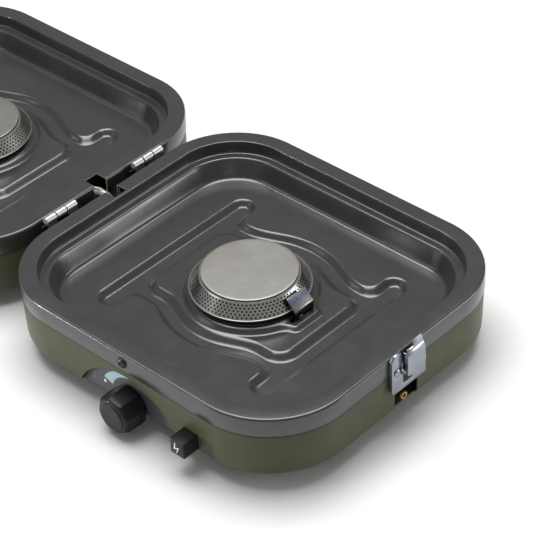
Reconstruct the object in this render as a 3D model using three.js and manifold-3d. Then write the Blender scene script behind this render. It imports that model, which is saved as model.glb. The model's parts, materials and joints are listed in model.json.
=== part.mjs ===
// Folding two-burner camping stove, opened flat. Millimetres, +Z up.
// The halves are built with the hinge line on the Y axis and the housings' undersides at z = 0:
// the right half lies on +X, the left half is its mirror image, and the front faces -Y.

import * as THREE from "three";
import { mergeVertices } from "three/addons/utils/BufferGeometryUtils.js";
import Module from "manifold-3d";

const wasm = await Module();
wasm.setup();

// ---- Driving dimensions ----

const HALF_WIDTH = 323; // one half, along X
const HALF_DEPTH = 290; // along Y
const CORNER_RADIUS = 72;
const GAP = 12; // between the opened halves
const RIM_HEIGHT = 58.4;
const FOOT_HEIGHT = 15;
const SHEET = 1; // pressed steel thickness
const CLEAR = 0.3; // between pieces that touch
const FOLD_HEIGHT = 60; // hinge pin above the housings' undersides

const INNER_EDGE = GAP / 2;
const OUTER_EDGE = INNER_EDGE + HALF_WIDTH;
const CENTRE_X = INNER_EDGE + HALF_WIDTH / 2;
const FRONT = -HALF_DEPTH / 2;

// Tray, as insets from the half's outline and heights
const SKIRT_BOTTOM = 41.5;
const RIM_INSET = 15.2;
const LEDGE_HEIGHT = 47;
const LEDGE_OUTER_INSET = 16;
const LEDGE_INNER_INSET = 24;
const FLOOR_INSET = 31;
const FLOOR_HEIGHT = 30;
const CHANNEL_FLOOR = 25;
const BOSS_HEIGHT = 33;

// Pressed channel round the burner, from the half's centre
const CHANNEL_HALF_WIDTH = 96;
const LOBE_WIDTH = 24;
const LOBE_REACH = 90;
const CHANNEL_FRONT = 63.5;
const CHANNEL_BULGE = 79.5;
const ISLAND_HALF_WIDTH = 72;
const ISLAND_HALF_DEPTH = 44;
const ISLAND_BULGE = 57.5;
const ISLAND_CORNER = 10;
const BOSS_RADIUS = 54.5;
const BOSS_TONGUE = 62;
const BOSS_TONGUE_HALF_WIDTH = 16;
const BURNER_HOLE_RADIUS = 30;
const ELECTRODE_OFFSET = 52.8; // from the burner's axis, towards the outer side
const SLOT_WIDTH = 4;
const SLOT_LENGTH = 24;

// Notch in the hinge-side rim for the link hose
const NOTCH_DEPTH = 12.5;
const NOTCH_HALF_WIDTH = 7;

// Housing
const HOUSING_LIP_TOP = 55;
const HOUSING_TOP_INSET = 0.5;
const HOUSING_BOTTOM_INSET = 1.6;
const LIP_INSET = 1.5;
const ARCH_RADIUS = 58.5;
const ARCH_CENTRE_Z = -24.4;
const PANEL_FRONT = FRONT + 6.5;
const PANEL_THICKNESS = 1.2;
const INLET_HALF_WIDTH = 14;
const INLET_TOP = 22;
const SCREW_Z = 50;

// Burner
const BURNER_Y = -1.5;
const CAP_RADIUS = 40;
const CAP_TOP = 54;
const BAND_TOP_RADIUS = 41.2;
const BAND_TOP = 52.6;
const BAND_FOOT_RADIUS = 49.5;
const BAND_FOOT = 40.7;
const BAND_LIP_RADIUS = 50.8;
const TUBE_HEIGHT = 12; // axis of the mixing tube above the housing's underside
const TUBE_RADIUS = 7;

// Controls
const KNOB_Z = 5;
const KNOB_RADIUS = 17.8;
const KNOB_BACK = PANEL_FRONT - 0.7;
const KNOB_LENGTH = 23.2;
const KNOB_LOBES = 8;
const STEM_RADIUS = 2.2;
const BUTTON_X = 236.5;
const BUTTON_Z = 12;
const BUTTON_SIZE = 14.8;
const BUTTON_FRONT = FRONT - 14;
const BUTTON_LENGTH = 21;
const BUTTON_SLEEVE = 0.4;
const PIEZO_BACK = -100;

// Hinges, link hose and latch
const BARREL_RADIUS = 3;
const PIN_RADIUS = 1.1;
const HINGE_LENGTH = 34;
const HINGE_CENTRES = { front: -52, back: 49.5 };
const HOSE_Y = -3;
const HOSE_RADIUS = 3.6;
const FERRULE_RADIUS = 4.2;
const HOSE_DROP_X = 14.5;
const HOSE_CROSSING_Z = 53;
const HOSE_END_Z = 36;
const LATCH_PIN_X = 334.2;
const LATCH_PIN_Z = 44;
const LATCH_LEFT = -20.5;
const LATCH_RIGHT = 19.8;
const LATCH_BOTTOM = 24.3;
const LATCH_TOP = 61.5;
const LATCH_RIGHT_TOP = 45.3; // of the base plate's right column
const PLATE_BACK = 331.3;
const PLATE_FRONT = 332.5;
const WINDOW_BOTTOM = 27.6;
const CHEEK_LEFT = -10.8;
const CHEEK_RIGHT = 13.9;
const HOOK_BEND = 57; // height where the hook's face turns in over the rim
const HOOK_TOP = 66.6;
const HOOK_TAB_LEFT = 2.4;

const LATHE_STEPS = 24;
const CORNER_STEPS = 3; // arcs are sampled at twice this many steps

// ---- Materials ----

const finish = (color, roughness, metalness) =>
  new THREE.MeshStandardMaterial({ color, roughness, metalness });

const OLIVE = finish(0x5f6350, 0.45, 0.1);
const COATING = finish(0x48484a, 0.45, 0.3);
const PANEL_GREY = finish(0x4a4b4c, 0.5, 0.2);
const STAINLESS = finish(0xb9b8b2, 0.3, 1);
const PERFORATED = finish(0xa9a8a4, 0.35, 1);
const ALUMINIUM = finish(0x8c8b88, 0.45, 1);
const BRASS = finish(0xb3884a, 0.35, 1);
const ZINC = finish(0xaab2ba, 0.3, 1);
const BLACK_PLASTIC = finish(0x232426, 0.4, 0);
const BLACK_STEEL = finish(0x1d1d1f, 0.4, 0.6);
const RUBBER = finish(0x1a1a1a, 0.9, 0);
const CERAMIC = finish(0xe7e2d6, 0.5, 0);
const BRAID = finish(0xb4b2a8, 0.4, 0.9);
const WIRE = finish(0x2b2b2d, 0.6, 0);

// ---- Solids ----

// One closed, indexed geometry with its faces pointing out.
function closed(geometry) {
  geometry.deleteAttribute("normal");
  geometry.deleteAttribute("uv");
  const welded = mergeVertices(geometry, 1e-4);
  const corners = Array.from(welded.index.array);
  const kept = [];
  for (let i = 0; i < corners.length; i += 3) {
    const [a, b, c] = corners.slice(i, i + 3);
    if (a !== b && b !== c && c !== a) kept.push(a, b, c);
  }
  welded.setIndex(kept);
  return volume(welded) < 0 ? flipped(welded) : welded;
}

function volume(geometry) {
  const place = geometry.attributes.position;
  const [a, b, c] = [new THREE.Vector3(), new THREE.Vector3(), new THREE.Vector3()];
  const index = geometry.index.array;
  let total = 0;
  for (let i = 0; i < index.length; i += 3) {
    a.fromBufferAttribute(place, index[i]);
    b.fromBufferAttribute(place, index[i + 1]);
    c.fromBufferAttribute(place, index[i + 2]);
    total += a.dot(b.cross(c)) / 6;
  }
  return total;
}

function flipped(geometry) {
  const index = Array.from(geometry.index.array);
  for (let i = 0; i < index.length; i += 3) {
    [index[i], index[i + 1]] = [index[i + 1], index[i]];
  }
  geometry.setIndex(index);
  return geometry;
}

function mirrored(geometry) {
  return flipped(geometry.clone().scale(-1, 1, 1));
}

function solid(geometry) {
  const shape = closed(geometry);
  const vertProperties = Float32Array.from(shape.attributes.position.array);
  const triVerts = Uint32Array.from(shape.index.array);
  return new wasm.Manifold(new wasm.Mesh({ numProp: 3, vertProperties, triVerts }));
}

function geometryOf(manifold) {
  const mesh = manifold.getMesh();
  const geometry = new THREE.BufferGeometry();
  geometry.setAttribute("position", new THREE.BufferAttribute(Float32Array.from(mesh.vertProperties), 3));
  geometry.setIndex(Array.from(mesh.triVerts));
  return geometry;
}

// The first geometry with the others joined on.
function joined(first, ...others) {
  return geometryOf(others.reduce((sum, next) => sum.add(solid(next)), solid(first)));
}

// The first geometry with the others cut away.
function cut(first, ...tools) {
  return geometryOf(tools.reduce((rest, tool) => rest.subtract(solid(tool)), solid(first)));
}

function common(first, second) {
  return geometryOf(solid(first).intersect(solid(second)));
}

function block(x, y, z) {
  const geometry = new THREE.BoxGeometry(x[1] - x[0], y[1] - y[0], z[1] - z[0]);
  return geometry.translate((x[0] + x[1]) / 2, (y[0] + y[1]) / 2, (z[0] + z[1]) / 2);
}

// A plan outline extruded upwards.
function slab(shape, bottom, top) {
  const options = { depth: top - bottom, bevelEnabled: false, curveSegments: CORNER_STEPS * 2 };
  return new THREE.ExtrudeGeometry(shape, options).translate(0, 0, bottom);
}

// An outline in X and Z extruded along Y.
function upright(shape, front, back, curveSegments = CORNER_STEPS * 2) {
  const options = { depth: back - front, bevelEnabled: false, curveSegments };
  return new THREE.ExtrudeGeometry(shape, options).rotateX(Math.PI / 2).translate(0, back, 0);
}

// A round bar along Z, moved and turned by its caller.
function rod(radius, length, sides = 16) {
  return new THREE.CylinderGeometry(radius, radius, length, sides).rotateX(Math.PI / 2);
}

function rodAlongY(radius, front, back, x, z, sides = 16) {
  return rod(radius, back - front, sides).rotateX(Math.PI / 2).translate(x, (front + back) / 2, z);
}

function rodAlongX(radius, start, end, y, z, sides = 16) {
  return rod(radius, end - start, sides).rotateY(Math.PI / 2).translate((start + end) / 2, y, z);
}

// A profile of [radius, height] turned about a vertical axis.
function turned(profile, x = 0, y = 0, steps = LATHE_STEPS) {
  const points = profile.map(([radius, height]) => new THREE.Vector2(radius, height));
  return new THREE.LatheGeometry(points, steps).rotateX(Math.PI / 2).translate(x, y, 0);
}

// A round tube along a smooth curve.
function pipe(radius, points, steps, sides = 8) {
  const path = new THREE.CatmullRomCurve3(points.map((p) => new THREE.Vector3(...p)), false, "centripetal");
  const section = new THREE.Shape().absarc(0, 0, radius, 0, Math.PI * 2);
  const options = { steps, extrudePath: path, curveSegments: sides / 2, bevelEnabled: false };
  return new THREE.ExtrudeGeometry(section, options);
}

function polygon(points) {
  return new THREE.Shape(points.map(([x, y]) => new THREE.Vector2(x, y)));
}

function roundedRectangle(halfWidth, halfDepth, radius) {
  const shape = new THREE.Shape();
  shape.absarc(halfWidth - radius, halfDepth - radius, radius, 0, Math.PI / 2);
  shape.absarc(radius - halfWidth, halfDepth - radius, radius, Math.PI / 2, Math.PI);
  shape.absarc(radius - halfWidth, radius - halfDepth, radius, Math.PI, Math.PI * 1.5);
  shape.absarc(halfWidth - radius, radius - halfDepth, radius, Math.PI * 1.5, Math.PI * 2);
  return shape;
}

// A stack of equally divided outlines, skinned in order and capped at both ends.
function lofted(loops) {
  const sides = loops[0].length;
  const positions = loops.flat().flatMap((p) => [p.x, p.y, p.z]);
  const index = [];
  for (let row = 0; row + 1 < loops.length; row += 1) {
    for (let i = 0; i < sides; i += 1) {
      const a = row * sides + i;
      const b = row * sides + ((i + 1) % sides);
      index.push(a, b, b + sides, a, b + sides, a + sides);
    }
  }
  const last = (loops.length - 1) * sides;
  for (let i = 1; i + 1 < sides; i += 1) {
    index.push(0, i + 1, i);
    index.push(last, last + i, last + i + 1);
  }
  const geometry = new THREE.BufferGeometry();
  geometry.setAttribute("position", new THREE.Float32BufferAttribute(positions, 3));
  geometry.setIndex(index);
  return geometry;
}

// A pressed pan: [inset, height] pairs from one cap to the other, round one half's outline.
function pressed(profile) {
  const loops = profile.map(([inset, height]) => {
    const outline = roundedRectangle(HALF_WIDTH / 2 - inset, HALF_DEPTH / 2 - inset, CORNER_RADIUS - inset);
    return outline.getPoints(CORNER_STEPS).slice(0, 4 * (2 * CORNER_STEPS + 1))
      .map((p) => new THREE.Vector3(p.x + CENTRE_X, p.y, height));
  });
  return lofted(loops);
}

// ---- Tray ----

// Outline of the pressed channel's outer edge: four lobes, with a bulge round the burner.
function channelOutline(grow) {
  const side = CHANNEL_HALF_WIDTH + grow;
  const lobe = LOBE_WIDTH / 2 + grow;
  const lobeX = CHANNEL_HALF_WIDTH - LOBE_WIDTH / 2;
  const lobeY = LOBE_REACH - LOBE_WIDTH / 2;
  const front = CHANNEL_FRONT + grow;
  const bulge = CHANNEL_BULGE + grow;
  const fillet = LOBE_WIDTH / 2 - grow;
  const start = Math.asin(front / bulge);
  const filletX = lobeX - lobe - fillet;
  const quarter = (sx, sy) => [
    [sx * side, sy * lobeY],
    ...arcPoints(lobeX, lobeY, lobe, 0, Math.PI, 6).map(([x, y]) => [sx * x, sy * y]),
    ...arcPoints(filletX, front + fillet, fillet, 0, -Math.PI / 2, 3).map(([x, y]) => [sx * x, sy * y]),
    ...arcPoints(0, 0, bulge, start, Math.PI / 2, 4).map(([x, y]) => [sx * x, sy * y]),
  ];
  const outline = [
    ...quarter(1, 1),
    ...quarter(-1, 1).reverse().slice(1),
    ...quarter(-1, -1).slice(1),
    ...quarter(1, -1).reverse().slice(1),
  ];
  return polygon(outline.slice(0, -1));
}

function arcPoints(x, y, radius, from, to, steps) {
  return Array.from({ length: steps + 1 }, (_, i) => {
    const angle = from + ((to - from) * i) / steps;
    return [x + radius * Math.cos(angle), y + radius * Math.sin(angle)];
  });
}

// The channel between the outer edge and the island that carries the burner.
function channel(grow, bottom, top) {
  const outer = slab(channelOutline(grow), bottom, top);
  const island = roundedRectangle(ISLAND_HALF_WIDTH - grow, ISLAND_HALF_DEPTH - grow, ISLAND_CORNER);
  const bulge = rod(ISLAND_BULGE - grow, 60, 32).translate(0, 0, FLOOR_HEIGHT);
  return cut(outer, slab(island, bottom - 1, top + 1), bulge).translate(CENTRE_X, 0, 0);
}

function boss(grow, bottom, top) {
  const disc = rod(BOSS_RADIUS + grow, top - bottom, 28).translate(0, 0, (bottom + top) / 2);
  const width = BOSS_TONGUE_HALF_WIDTH + grow;
  const tongue = block([0, BOSS_TONGUE + grow], [-width, width], [bottom, top]);
  return joined(disc, tongue).translate(CENTRE_X, 0, 0);
}

function tray() {
  const top = [
    [FLOOR_INSET, FLOOR_HEIGHT],
    [FLOOR_INSET - 1.5, FLOOR_HEIGHT + 2],
    [LEDGE_INNER_INSET, LEDGE_HEIGHT],
    [LEDGE_OUTER_INSET, LEDGE_HEIGHT],
    [RIM_INSET, RIM_HEIGHT],
    [0.8, RIM_HEIGHT],
    [0, RIM_HEIGHT - 0.8],
    [0, SKIRT_BOTTOM],
  ];
  const under = [
    [SHEET, SKIRT_BOTTOM],
    [SHEET, RIM_HEIGHT - SHEET],
    [RIM_INSET - SHEET, RIM_HEIGHT - SHEET],
    [LEDGE_OUTER_INSET - SHEET, LEDGE_HEIGHT - SHEET],
    [LEDGE_INNER_INSET - SHEET * 0.8, LEDGE_HEIGHT - SHEET],
    [FLOOR_INSET - 2.5, FLOOR_HEIGHT + 0.8],
    [FLOOR_INSET - SHEET, FLOOR_HEIGHT - SHEET],
  ];
  const basin = joined(
    pressed([...top, ...under]),
    channel(SHEET, CHANNEL_FLOOR - SHEET, FLOOR_HEIGHT - 0.2),
  );
  const channelled = cut(basin, channel(0, CHANNEL_FLOOR, FLOOR_HEIGHT + 1));
  const raised = joined(channelled, boss(0, FLOOR_HEIGHT - SHEET * 0.9, BOSS_HEIGHT));
  const slotX = CENTRE_X + ELECTRODE_OFFSET;
  const burnerHole = rod(BURNER_HOLE_RADIUS, 20, 24).translate(CENTRE_X, 0, BOSS_HEIGHT);
  const slot = block(
    [slotX - SLOT_WIDTH / 2, slotX + SLOT_WIDTH / 2],
    [-SLOT_LENGTH / 2, SLOT_LENGTH / 2],
    [FLOOR_HEIGHT, BOSS_HEIGHT + 5],
  );
  const notch = block(
    [INNER_EDGE - 1, INNER_EDGE + NOTCH_DEPTH],
    [-NOTCH_HALF_WIDTH, NOTCH_HALF_WIDTH],
    [SKIRT_BOTTOM - 1, RIM_HEIGHT + 1],
  );
  const screwHole = rodAlongY(2.2, FRONT - 2, FRONT + 8, CENTRE_X, SCREW_Z, 10);
  return cut(raised, boss(-SHEET, 20, BOSS_HEIGHT - SHEET), burnerHole, slot, notch, screwHole);
}

// ---- Housing and panel ----

function archDisc(radius, front, back, sides = 56) {
  return rodAlongY(radius, front, back, CENTRE_X, ARCH_CENTRE_Z, sides);
}

function housing(hasInlet) {
  const pan = pressed([
    [7.3, 0],
    [3.4, 1.6],
    [HOUSING_BOTTOM_INSET, 5.5],
    [HOUSING_TOP_INSET, SKIRT_BOTTOM - CLEAR],
    [LIP_INSET, SKIRT_BOTTOM - CLEAR],
    [LIP_INSET, HOUSING_LIP_TOP],
    [LIP_INSET + SHEET, HOUSING_LIP_TOP],
    [LIP_INSET + SHEET, SKIRT_BOTTOM - 1],
    [HOUSING_BOTTOM_INSET + SHEET, 6],
    [4.4, 2],
    [6.2, SHEET],
  ]);
  const inner = FRONT + HOUSING_BOTTOM_INSET + SHEET;
  const flange = common(
    cut(archDisc(ARCH_RADIUS + SHEET, inner - 0.9, PANEL_FRONT - 0.7), archDisc(ARCH_RADIUS, -200, 0)),
    block([0, 400], [-200, 0], [SHEET * 0.6, 60]),
  );
  const cavity = archDisc(ARCH_RADIUS, FRONT - 5, PANEL_FRONT - 0.4);
  const half = BUTTON_SIZE / 2 + BUTTON_SLEEVE;
  const buttonHole = block(
    [BUTTON_X - half, BUTTON_X + half],
    [FRONT - 5, FRONT + 8],
    [BUTTON_Z - half, BUTTON_Z + half],
  );
  const notch = block([0, INNER_EDGE + 5], [-NOTCH_HALF_WIDTH - 1, NOTCH_HALF_WIDTH + 1], [43, 60]);
  const screwHole = rodAlongY(2.2, FRONT - 2, FRONT + 8, CENTRE_X, SCREW_Z, 10);
  const tools = [cavity, buttonHole, notch, screwHole];
  if (hasInlet) {
    const straight = INLET_TOP - 6;
    const through = [OUTER_EDGE - 5, OUTER_EDGE + 2];
    const narrow = INLET_HALF_WIDTH - 6;
    tools.push(block(through, [-INLET_HALF_WIDTH, INLET_HALF_WIDTH], [-1, straight]));
    tools.push(block(through, [-narrow, narrow], [-1, INLET_TOP]));
    for (const side of [-1, 1]) {
      tools.push(rodAlongX(6, OUTER_EDGE - 5, OUTER_EDGE + 2, side * (INLET_HALF_WIDTH - 6), straight));
    }
  }
  return cut(joined(cut(pan, cavity), flange), ...tools);
}

function controlPanel() {
  const plate = archDisc(ARCH_RADIUS + 3.4, PANEL_FRONT, PANEL_FRONT + PANEL_THICKNESS, 48);
  const kept = block([0, 400], [-200, 0], [SHEET + CLEAR, 60]);
  const hole = rodAlongY(STEM_RADIUS + 0.5, -200, 0, CENTRE_X, KNOB_Z);
  return cut(common(plate, kept), hole);
}

function foot(x, y) {
  const low = -FOOT_HEIGHT;
  const profile = [[0, low], [8, low], [8.8, low + 1], [9.6, -3], [9.6, -CLEAR], [0, -CLEAR]];
  return turned(profile, x, y, 12);
}

function frontScrew() {
  const shank = rodAlongY(1.8, FRONT - CLEAR - 1, FRONT + 7, CENTRE_X, SCREW_Z, 10);
  const head = new THREE.CylinderGeometry(4.7, 3.2, 2.2, 16);
  return joined(head.translate(CENTRE_X, FRONT - CLEAR - 1.1, SCREW_Z), shank);
}

// ---- Burner ----

function burnerBase() {
  return turned([
    [0, 4.5],
    [16, 4.5],
    [16, 30],
    [28, 32],
    [28, BOSS_HEIGHT + CLEAR],
    [45.5, BOSS_HEIGHT + 0.6],
    [47.2, BOSS_HEIGHT + 2.5],
    [47.2, BAND_FOOT - 2.2],
    [45.8, BAND_FOOT - 2.2],
    [45, BOSS_HEIGHT + 3.4],
    [26, BOSS_HEIGHT + 3],
    [14, 31],
    [14, 7],
    [0, 7],
  ], CENTRE_X, BURNER_Y);
}

function burnerBand() {
  return turned([
    [BAND_FOOT_RADIUS - 0.6, BAND_FOOT - 0.8],
    [BAND_LIP_RADIUS, BAND_FOOT - 0.8],
    [BAND_LIP_RADIUS, BAND_FOOT + 0.1],
    [BAND_FOOT_RADIUS, BAND_FOOT + 0.4],
    [BAND_TOP_RADIUS, BAND_TOP],
    [38, BAND_TOP],
    [38, BAND_TOP - 0.7],
    [BAND_TOP_RADIUS - 1, BAND_TOP - 0.7],
    [BAND_FOOT_RADIUS - 0.9, BAND_FOOT],
    [BAND_FOOT_RADIUS - 0.6, BAND_FOOT - 0.8],
  ], CENTRE_X, BURNER_Y, 36);
}

function burnerCap() {
  return turned([
    [0, BAND_TOP + CLEAR],
    [CAP_RADIUS - 0.6, BAND_TOP + CLEAR],
    [CAP_RADIUS, BAND_TOP + 0.7],
    [CAP_RADIUS - 0.5, CAP_TOP],
    [0, CAP_TOP],
  ], CENTRE_X, BURNER_Y, 36);
}

function burnerTube() {
  const front = -106;
  const back = BURNER_Y - 16.8;
  const outer = rodAlongY(TUBE_RADIUS, front, back, CENTRE_X, TUBE_HEIGHT);
  return cut(outer, rodAlongY(TUBE_RADIUS - 1, front - 1, back + 1, CENTRE_X, TUBE_HEIGHT));
}

// Folded cover over the spark gap: a sloping roof that turns down in front, and two cheeks.
function igniterShield() {
  const cheek = polygon([[46.6, 50.6], [51.4, 44.4], [51.4, 33.5], [56, 33.5], [56, 42]]);
  const cover = polygon([
    [46.2, 50.9], [54.9, 42.5], [55.2, 41.8], [55.2, 33.5],
    [56.2, 33.5], [56.2, 42.2], [55.6, 43.3], [46.8, 51.7],
  ]);
  const left = upright(cheek, -9, -8);
  const right = upright(cheek, 11.4, 12.4);
  return joined(upright(cover, -9, 12.4), left, right).translate(CENTRE_X, 0, 0);
}

function electrode() {
  const profile = [[0, 16], [1.5, 16], [1.5, 39], [0.7, 39.8], [0.7, 43], [0, 43]];
  return turned(profile, CENTRE_X + ELECTRODE_OFFSET, 0, 12);
}

// ---- Gas tap and spark ----

function valveBody() {
  const front = PANEL_FRONT + PANEL_THICKNESS + CLEAR;
  const back = -114;
  const body = block([CENTRE_X - 8, CENTRE_X + 8], [front, back], [SHEET + 0.4, 18]);
  const jet = rodAlongY(3.4, back - 1, -103, CENTRE_X, TUBE_HEIGHT, 12);
  return cut(joined(body, jet), rodAlongY(STEM_RADIUS + 0.5, front - 1, -126, CENTRE_X, KNOB_Z));
}

function valveStem() {
  return rodAlongY(STEM_RADIUS, KNOB_BACK - 16, -127, CENTRE_X, KNOB_Z, 14);
}

// Lobed grip that tapers to a smooth round face.
function knob() {
  const loop = (fromBack, radius, depth) => Array.from({ length: 4 * KNOB_LOBES }, (_, i) => {
    const angle = (i * Math.PI) / (2 * KNOB_LOBES);
    const r = radius - (depth * (1 - Math.cos(KNOB_LOBES * angle))) / 2;
    const across = r * Math.cos(angle);
    const up = r * Math.sin(angle);
    return new THREE.Vector3(CENTRE_X + across, KNOB_BACK - fromBack, KNOB_Z + up);
  });
  const grip = lofted([
    loop(0, KNOB_RADIUS - 1, 1),
    loop(1, KNOB_RADIUS, 1.6),
    loop(KNOB_LENGTH - 4, KNOB_RADIUS - 0.8, 1.6),
    loop(KNOB_LENGTH - 1, KNOB_RADIUS - 2, 1),
    loop(KNOB_LENGTH, KNOB_RADIUS - 3.4, 0),
  ]);
  return cut(grip, rodAlongY(STEM_RADIUS + CLEAR, KNOB_BACK - 17, KNOB_BACK + 1, CENTRE_X, KNOB_Z, 14));
}

function igniterButton() {
  const half = BUTTON_SIZE / 2;
  return block(
    [BUTTON_X - half, BUTTON_X + half],
    [BUTTON_FRONT, BUTTON_FRONT + BUTTON_LENGTH],
    [BUTTON_Z - half, BUTTON_Z + half],
  );
}

function piezoUnit() {
  const outer = BUTTON_SIZE / 2 + 1.8;
  const inner = BUTTON_SIZE / 2 + BUTTON_SLEEVE;
  const around = (half) => [[BUTTON_X - half, BUTTON_X + half], [BUTTON_Z - half, BUTTON_Z + half]];
  const [bodyX, bodyZ] = around(outer);
  const [sleeveX, sleeveZ] = around(inner);
  const body = block(bodyX, [-140.4, PIEZO_BACK], bodyZ);
  const sleeve = block(sleeveX, [-141, -131], sleeveZ);
  return cut(body, sleeve);
}

function ignitionLead() {
  const x = CENTRE_X + ELECTRODE_OFFSET;
  return pipe(1.2, [
    [BUTTON_X, PIEZO_BACK + CLEAR, 15],
    [BUTTON_X, -88, 15],
    [232, -50, 11],
    [x + 1, -12, 5],
    [x, -2, 6.5],
    [x, 0, 12],
    [x, 0, 15.7],
  ], 18);
}

// ---- Gas line ----

function linkPipe() {
  return pipe(2.5, [
    [HOSE_DROP_X, HOSE_Y, HOSE_END_Z - 8.6],
    [HOSE_DROP_X, HOSE_Y, 15],
    [19, -9, 7.5],
    [60, -52, 6],
    [125, -114, 7],
    [150, -122, 9],
    [CENTRE_X - 8.5, -122, 9],
  ], 20);
}

function inletPipe() {
  return pipe(2.5, [
    [CENTRE_X + 8.5, -122, 9],
    [186, -121, 8],
    [206, -107, 5.5],
    [240, -84, 5],
    [283, -44, 6],
    [291, -8, 8.5],
    [296, 0, 9],
    [299.5, 0, 9],
  ], 22);
}

function inletNipple() {
  const profile = [
    [0, 0], [5, 0], [5, 9], [3.6, 9], [3.6, 15.5], [4.6, 16], [3.7, 20], [4.6, 20.4], [3.4, 27.8],
    [1.8, 27.8], [1.8, 18], [0, 18],
  ];
  return turned(profile, 0, 0, 16).rotateY(Math.PI / 2).translate(299.8, 0, 9);
}

function inletBracket() {
  const wall = block([313.2, 314.4], [-11, 11], [SHEET + CLEAR, 20]);
  const tab = block([304, 314], [-11, 11], [SHEET + CLEAR, SHEET + CLEAR + 1]);
  return cut(joined(wall, tab), rodAlongX(5.4, 300, 320, 0, 9, 20));
}

function linkHose() {
  const rise = [
    [HOSE_DROP_X, HOSE_Y, HOSE_END_Z + CLEAR],
    [HOSE_DROP_X - 0.2, HOSE_Y, 43],
    [11.3, HOSE_Y, 50],
    [5, HOSE_Y, HOSE_CROSSING_Z - 0.6],
  ];
  const fall = rise.map(([x, y, z]) => [-x, y, z]).reverse();
  return pipe(HOSE_RADIUS, [...rise, [0, HOSE_Y, HOSE_CROSSING_Z], ...fall], 24);
}

function hoseFerrule() {
  const low = HOSE_END_Z - 8.3;
  const top = HOSE_END_Z;
  const shoulder = FERRULE_RADIUS - 0.4;
  const profile = [[0, low], [FERRULE_RADIUS, low], [FERRULE_RADIUS, top - 1], [shoulder, top], [0, top]];
  return turned(profile, HOSE_DROP_X, HOSE_Y, 14);
}

// ---- Hinges ----

// One leaf: a plate down the skirt, an arm to the pin, and the knuckles that it carries.
function hingeLeaf(centre, knuckles) {
  const front = centre - HINGE_LENGTH / 2;
  const back = centre + HINGE_LENGTH / 2;
  const plate = block([INNER_EDGE - CLEAR - 1, INNER_EDGE - CLEAR], [front, back], [44, 58]);
  const arm = block([3.5, INNER_EDGE - CLEAR], [front, back], [57, 58]);
  const third = HINGE_LENGTH / 3;
  const parts = knuckles.flatMap((n) => {
    const start = front + n * third + (n > 0 ? CLEAR / 2 : 0);
    const end = front + (n + 1) * third - (n < 2 ? CLEAR / 2 : 0);
    return [
      rodAlongY(BARREL_RADIUS, start, end, 0, FOLD_HEIGHT, 14),
      block([0, 4.5], [start, end], [57.05, 58]),
    ];
  });
  const bore = rodAlongY(PIN_RADIUS + CLEAR, front - 1, back + 1, 0, FOLD_HEIGHT, 12);
  return cut(joined(plate, arm, ...parts), bore);
}

function hingePin(centre) {
  const reach = HINGE_LENGTH / 2 - 0.5;
  return rodAlongY(PIN_RADIUS, centre - reach, centre + reach, 0, FOLD_HEIGHT, 12);
}

// ---- Latch ----

// Base plate with a turned-in left flange, a window behind the hook, and two cheeks for the pin.
function latchBase() {
  const wall = OUTER_EDGE + CLEAR;
  const outline = polygon([
    [LATCH_LEFT, LATCH_BOTTOM + 4], [LATCH_LEFT + 1.2, LATCH_BOTTOM + 1.2], [LATCH_LEFT + 4, LATCH_BOTTOM],
    [LATCH_RIGHT - 2, LATCH_BOTTOM], [LATCH_RIGHT, LATCH_BOTTOM + 2], [LATCH_RIGHT, LATCH_RIGHT_TOP],
    [CHEEK_RIGHT, LATCH_RIGHT_TOP], [CHEEK_RIGHT, WINDOW_BOTTOM], [CHEEK_LEFT + 1.2, WINDOW_BOTTOM],
    [CHEEK_LEFT + 1.2, LATCH_TOP], [LATCH_LEFT + 4, LATCH_TOP], [LATCH_LEFT, LATCH_TOP - 4],
  ]);
  const thickness = PLATE_FRONT - PLATE_BACK;
  const plate = new THREE.ExtrudeGeometry(outline, { depth: thickness, bevelEnabled: false })
    .rotateX(Math.PI / 2).rotateZ(Math.PI / 2).translate(PLATE_BACK, 0, 0);
  const side = block([wall, PLATE_FRONT], [LATCH_LEFT, LATCH_LEFT + 1.2], [LATCH_BOTTOM + 4, LATCH_TOP - 4]);
  const top = block([wall, PLATE_FRONT], [LATCH_LEFT + 4, CHEEK_LEFT + 1.2], [LATCH_TOP - 1.2, LATCH_TOP]);
  const ears = [[CHEEK_LEFT, CHEEK_LEFT + 1.2], [CHEEK_RIGHT, CHEEK_RIGHT + 1.2]].flatMap((y) => [
    rodAlongY(2.6, y[0], y[1], LATCH_PIN_X, LATCH_PIN_Z, 18),
    block([PLATE_BACK + 0.2, LATCH_PIN_X], y, [LATCH_PIN_Z - 2.6, LATCH_PIN_Z + 2.6]),
  ]);
  const bore = rodAlongY(1 + CLEAR, -30, 40, LATCH_PIN_X, LATCH_PIN_Z);
  return cut(joined(plate, side, top, ...ears), bore);
}

// Rocking hook: a folded plate with side cheeks and a lip that reaches over the strike.
function latchHook() {
  const left = CHEEK_LEFT + 1.2 + 0.5;
  const right = CHEEK_RIGHT - 0.5;
  const shoulder = HOOK_BEND + 4;
  const face = polygon([
    [336.4, 31.5], [337.5, 31.5], [337.5, HOOK_BEND], [335.7, shoulder], [334.4, shoulder - 0.6],
    [336.4, HOOK_BEND - 0.6],
  ]);
  const tab = polygon([
    [335.7, shoulder], [333.1, HOOK_TOP], [332.1, HOOK_TOP], [332.1, HOOK_TOP - 1.2], [334.4, shoulder - 0.6],
  ]);
  const cheek = polygon([
    [334.6, 34], [337, 32.5], [337, 56], [333.4, 55], [332.2, 47], [332.2, 41.5],
  ]);
  const hook = joined(
    upright(face, left, right),
    upright(tab, HOOK_TAB_LEFT, right),
    upright(cheek, left, left + 1.2),
    upright(cheek, right - 1.2, right),
  );
  return cut(hook, rodAlongY(1 + CLEAR, -30, 40, LATCH_PIN_X, LATCH_PIN_Z));
}

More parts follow.
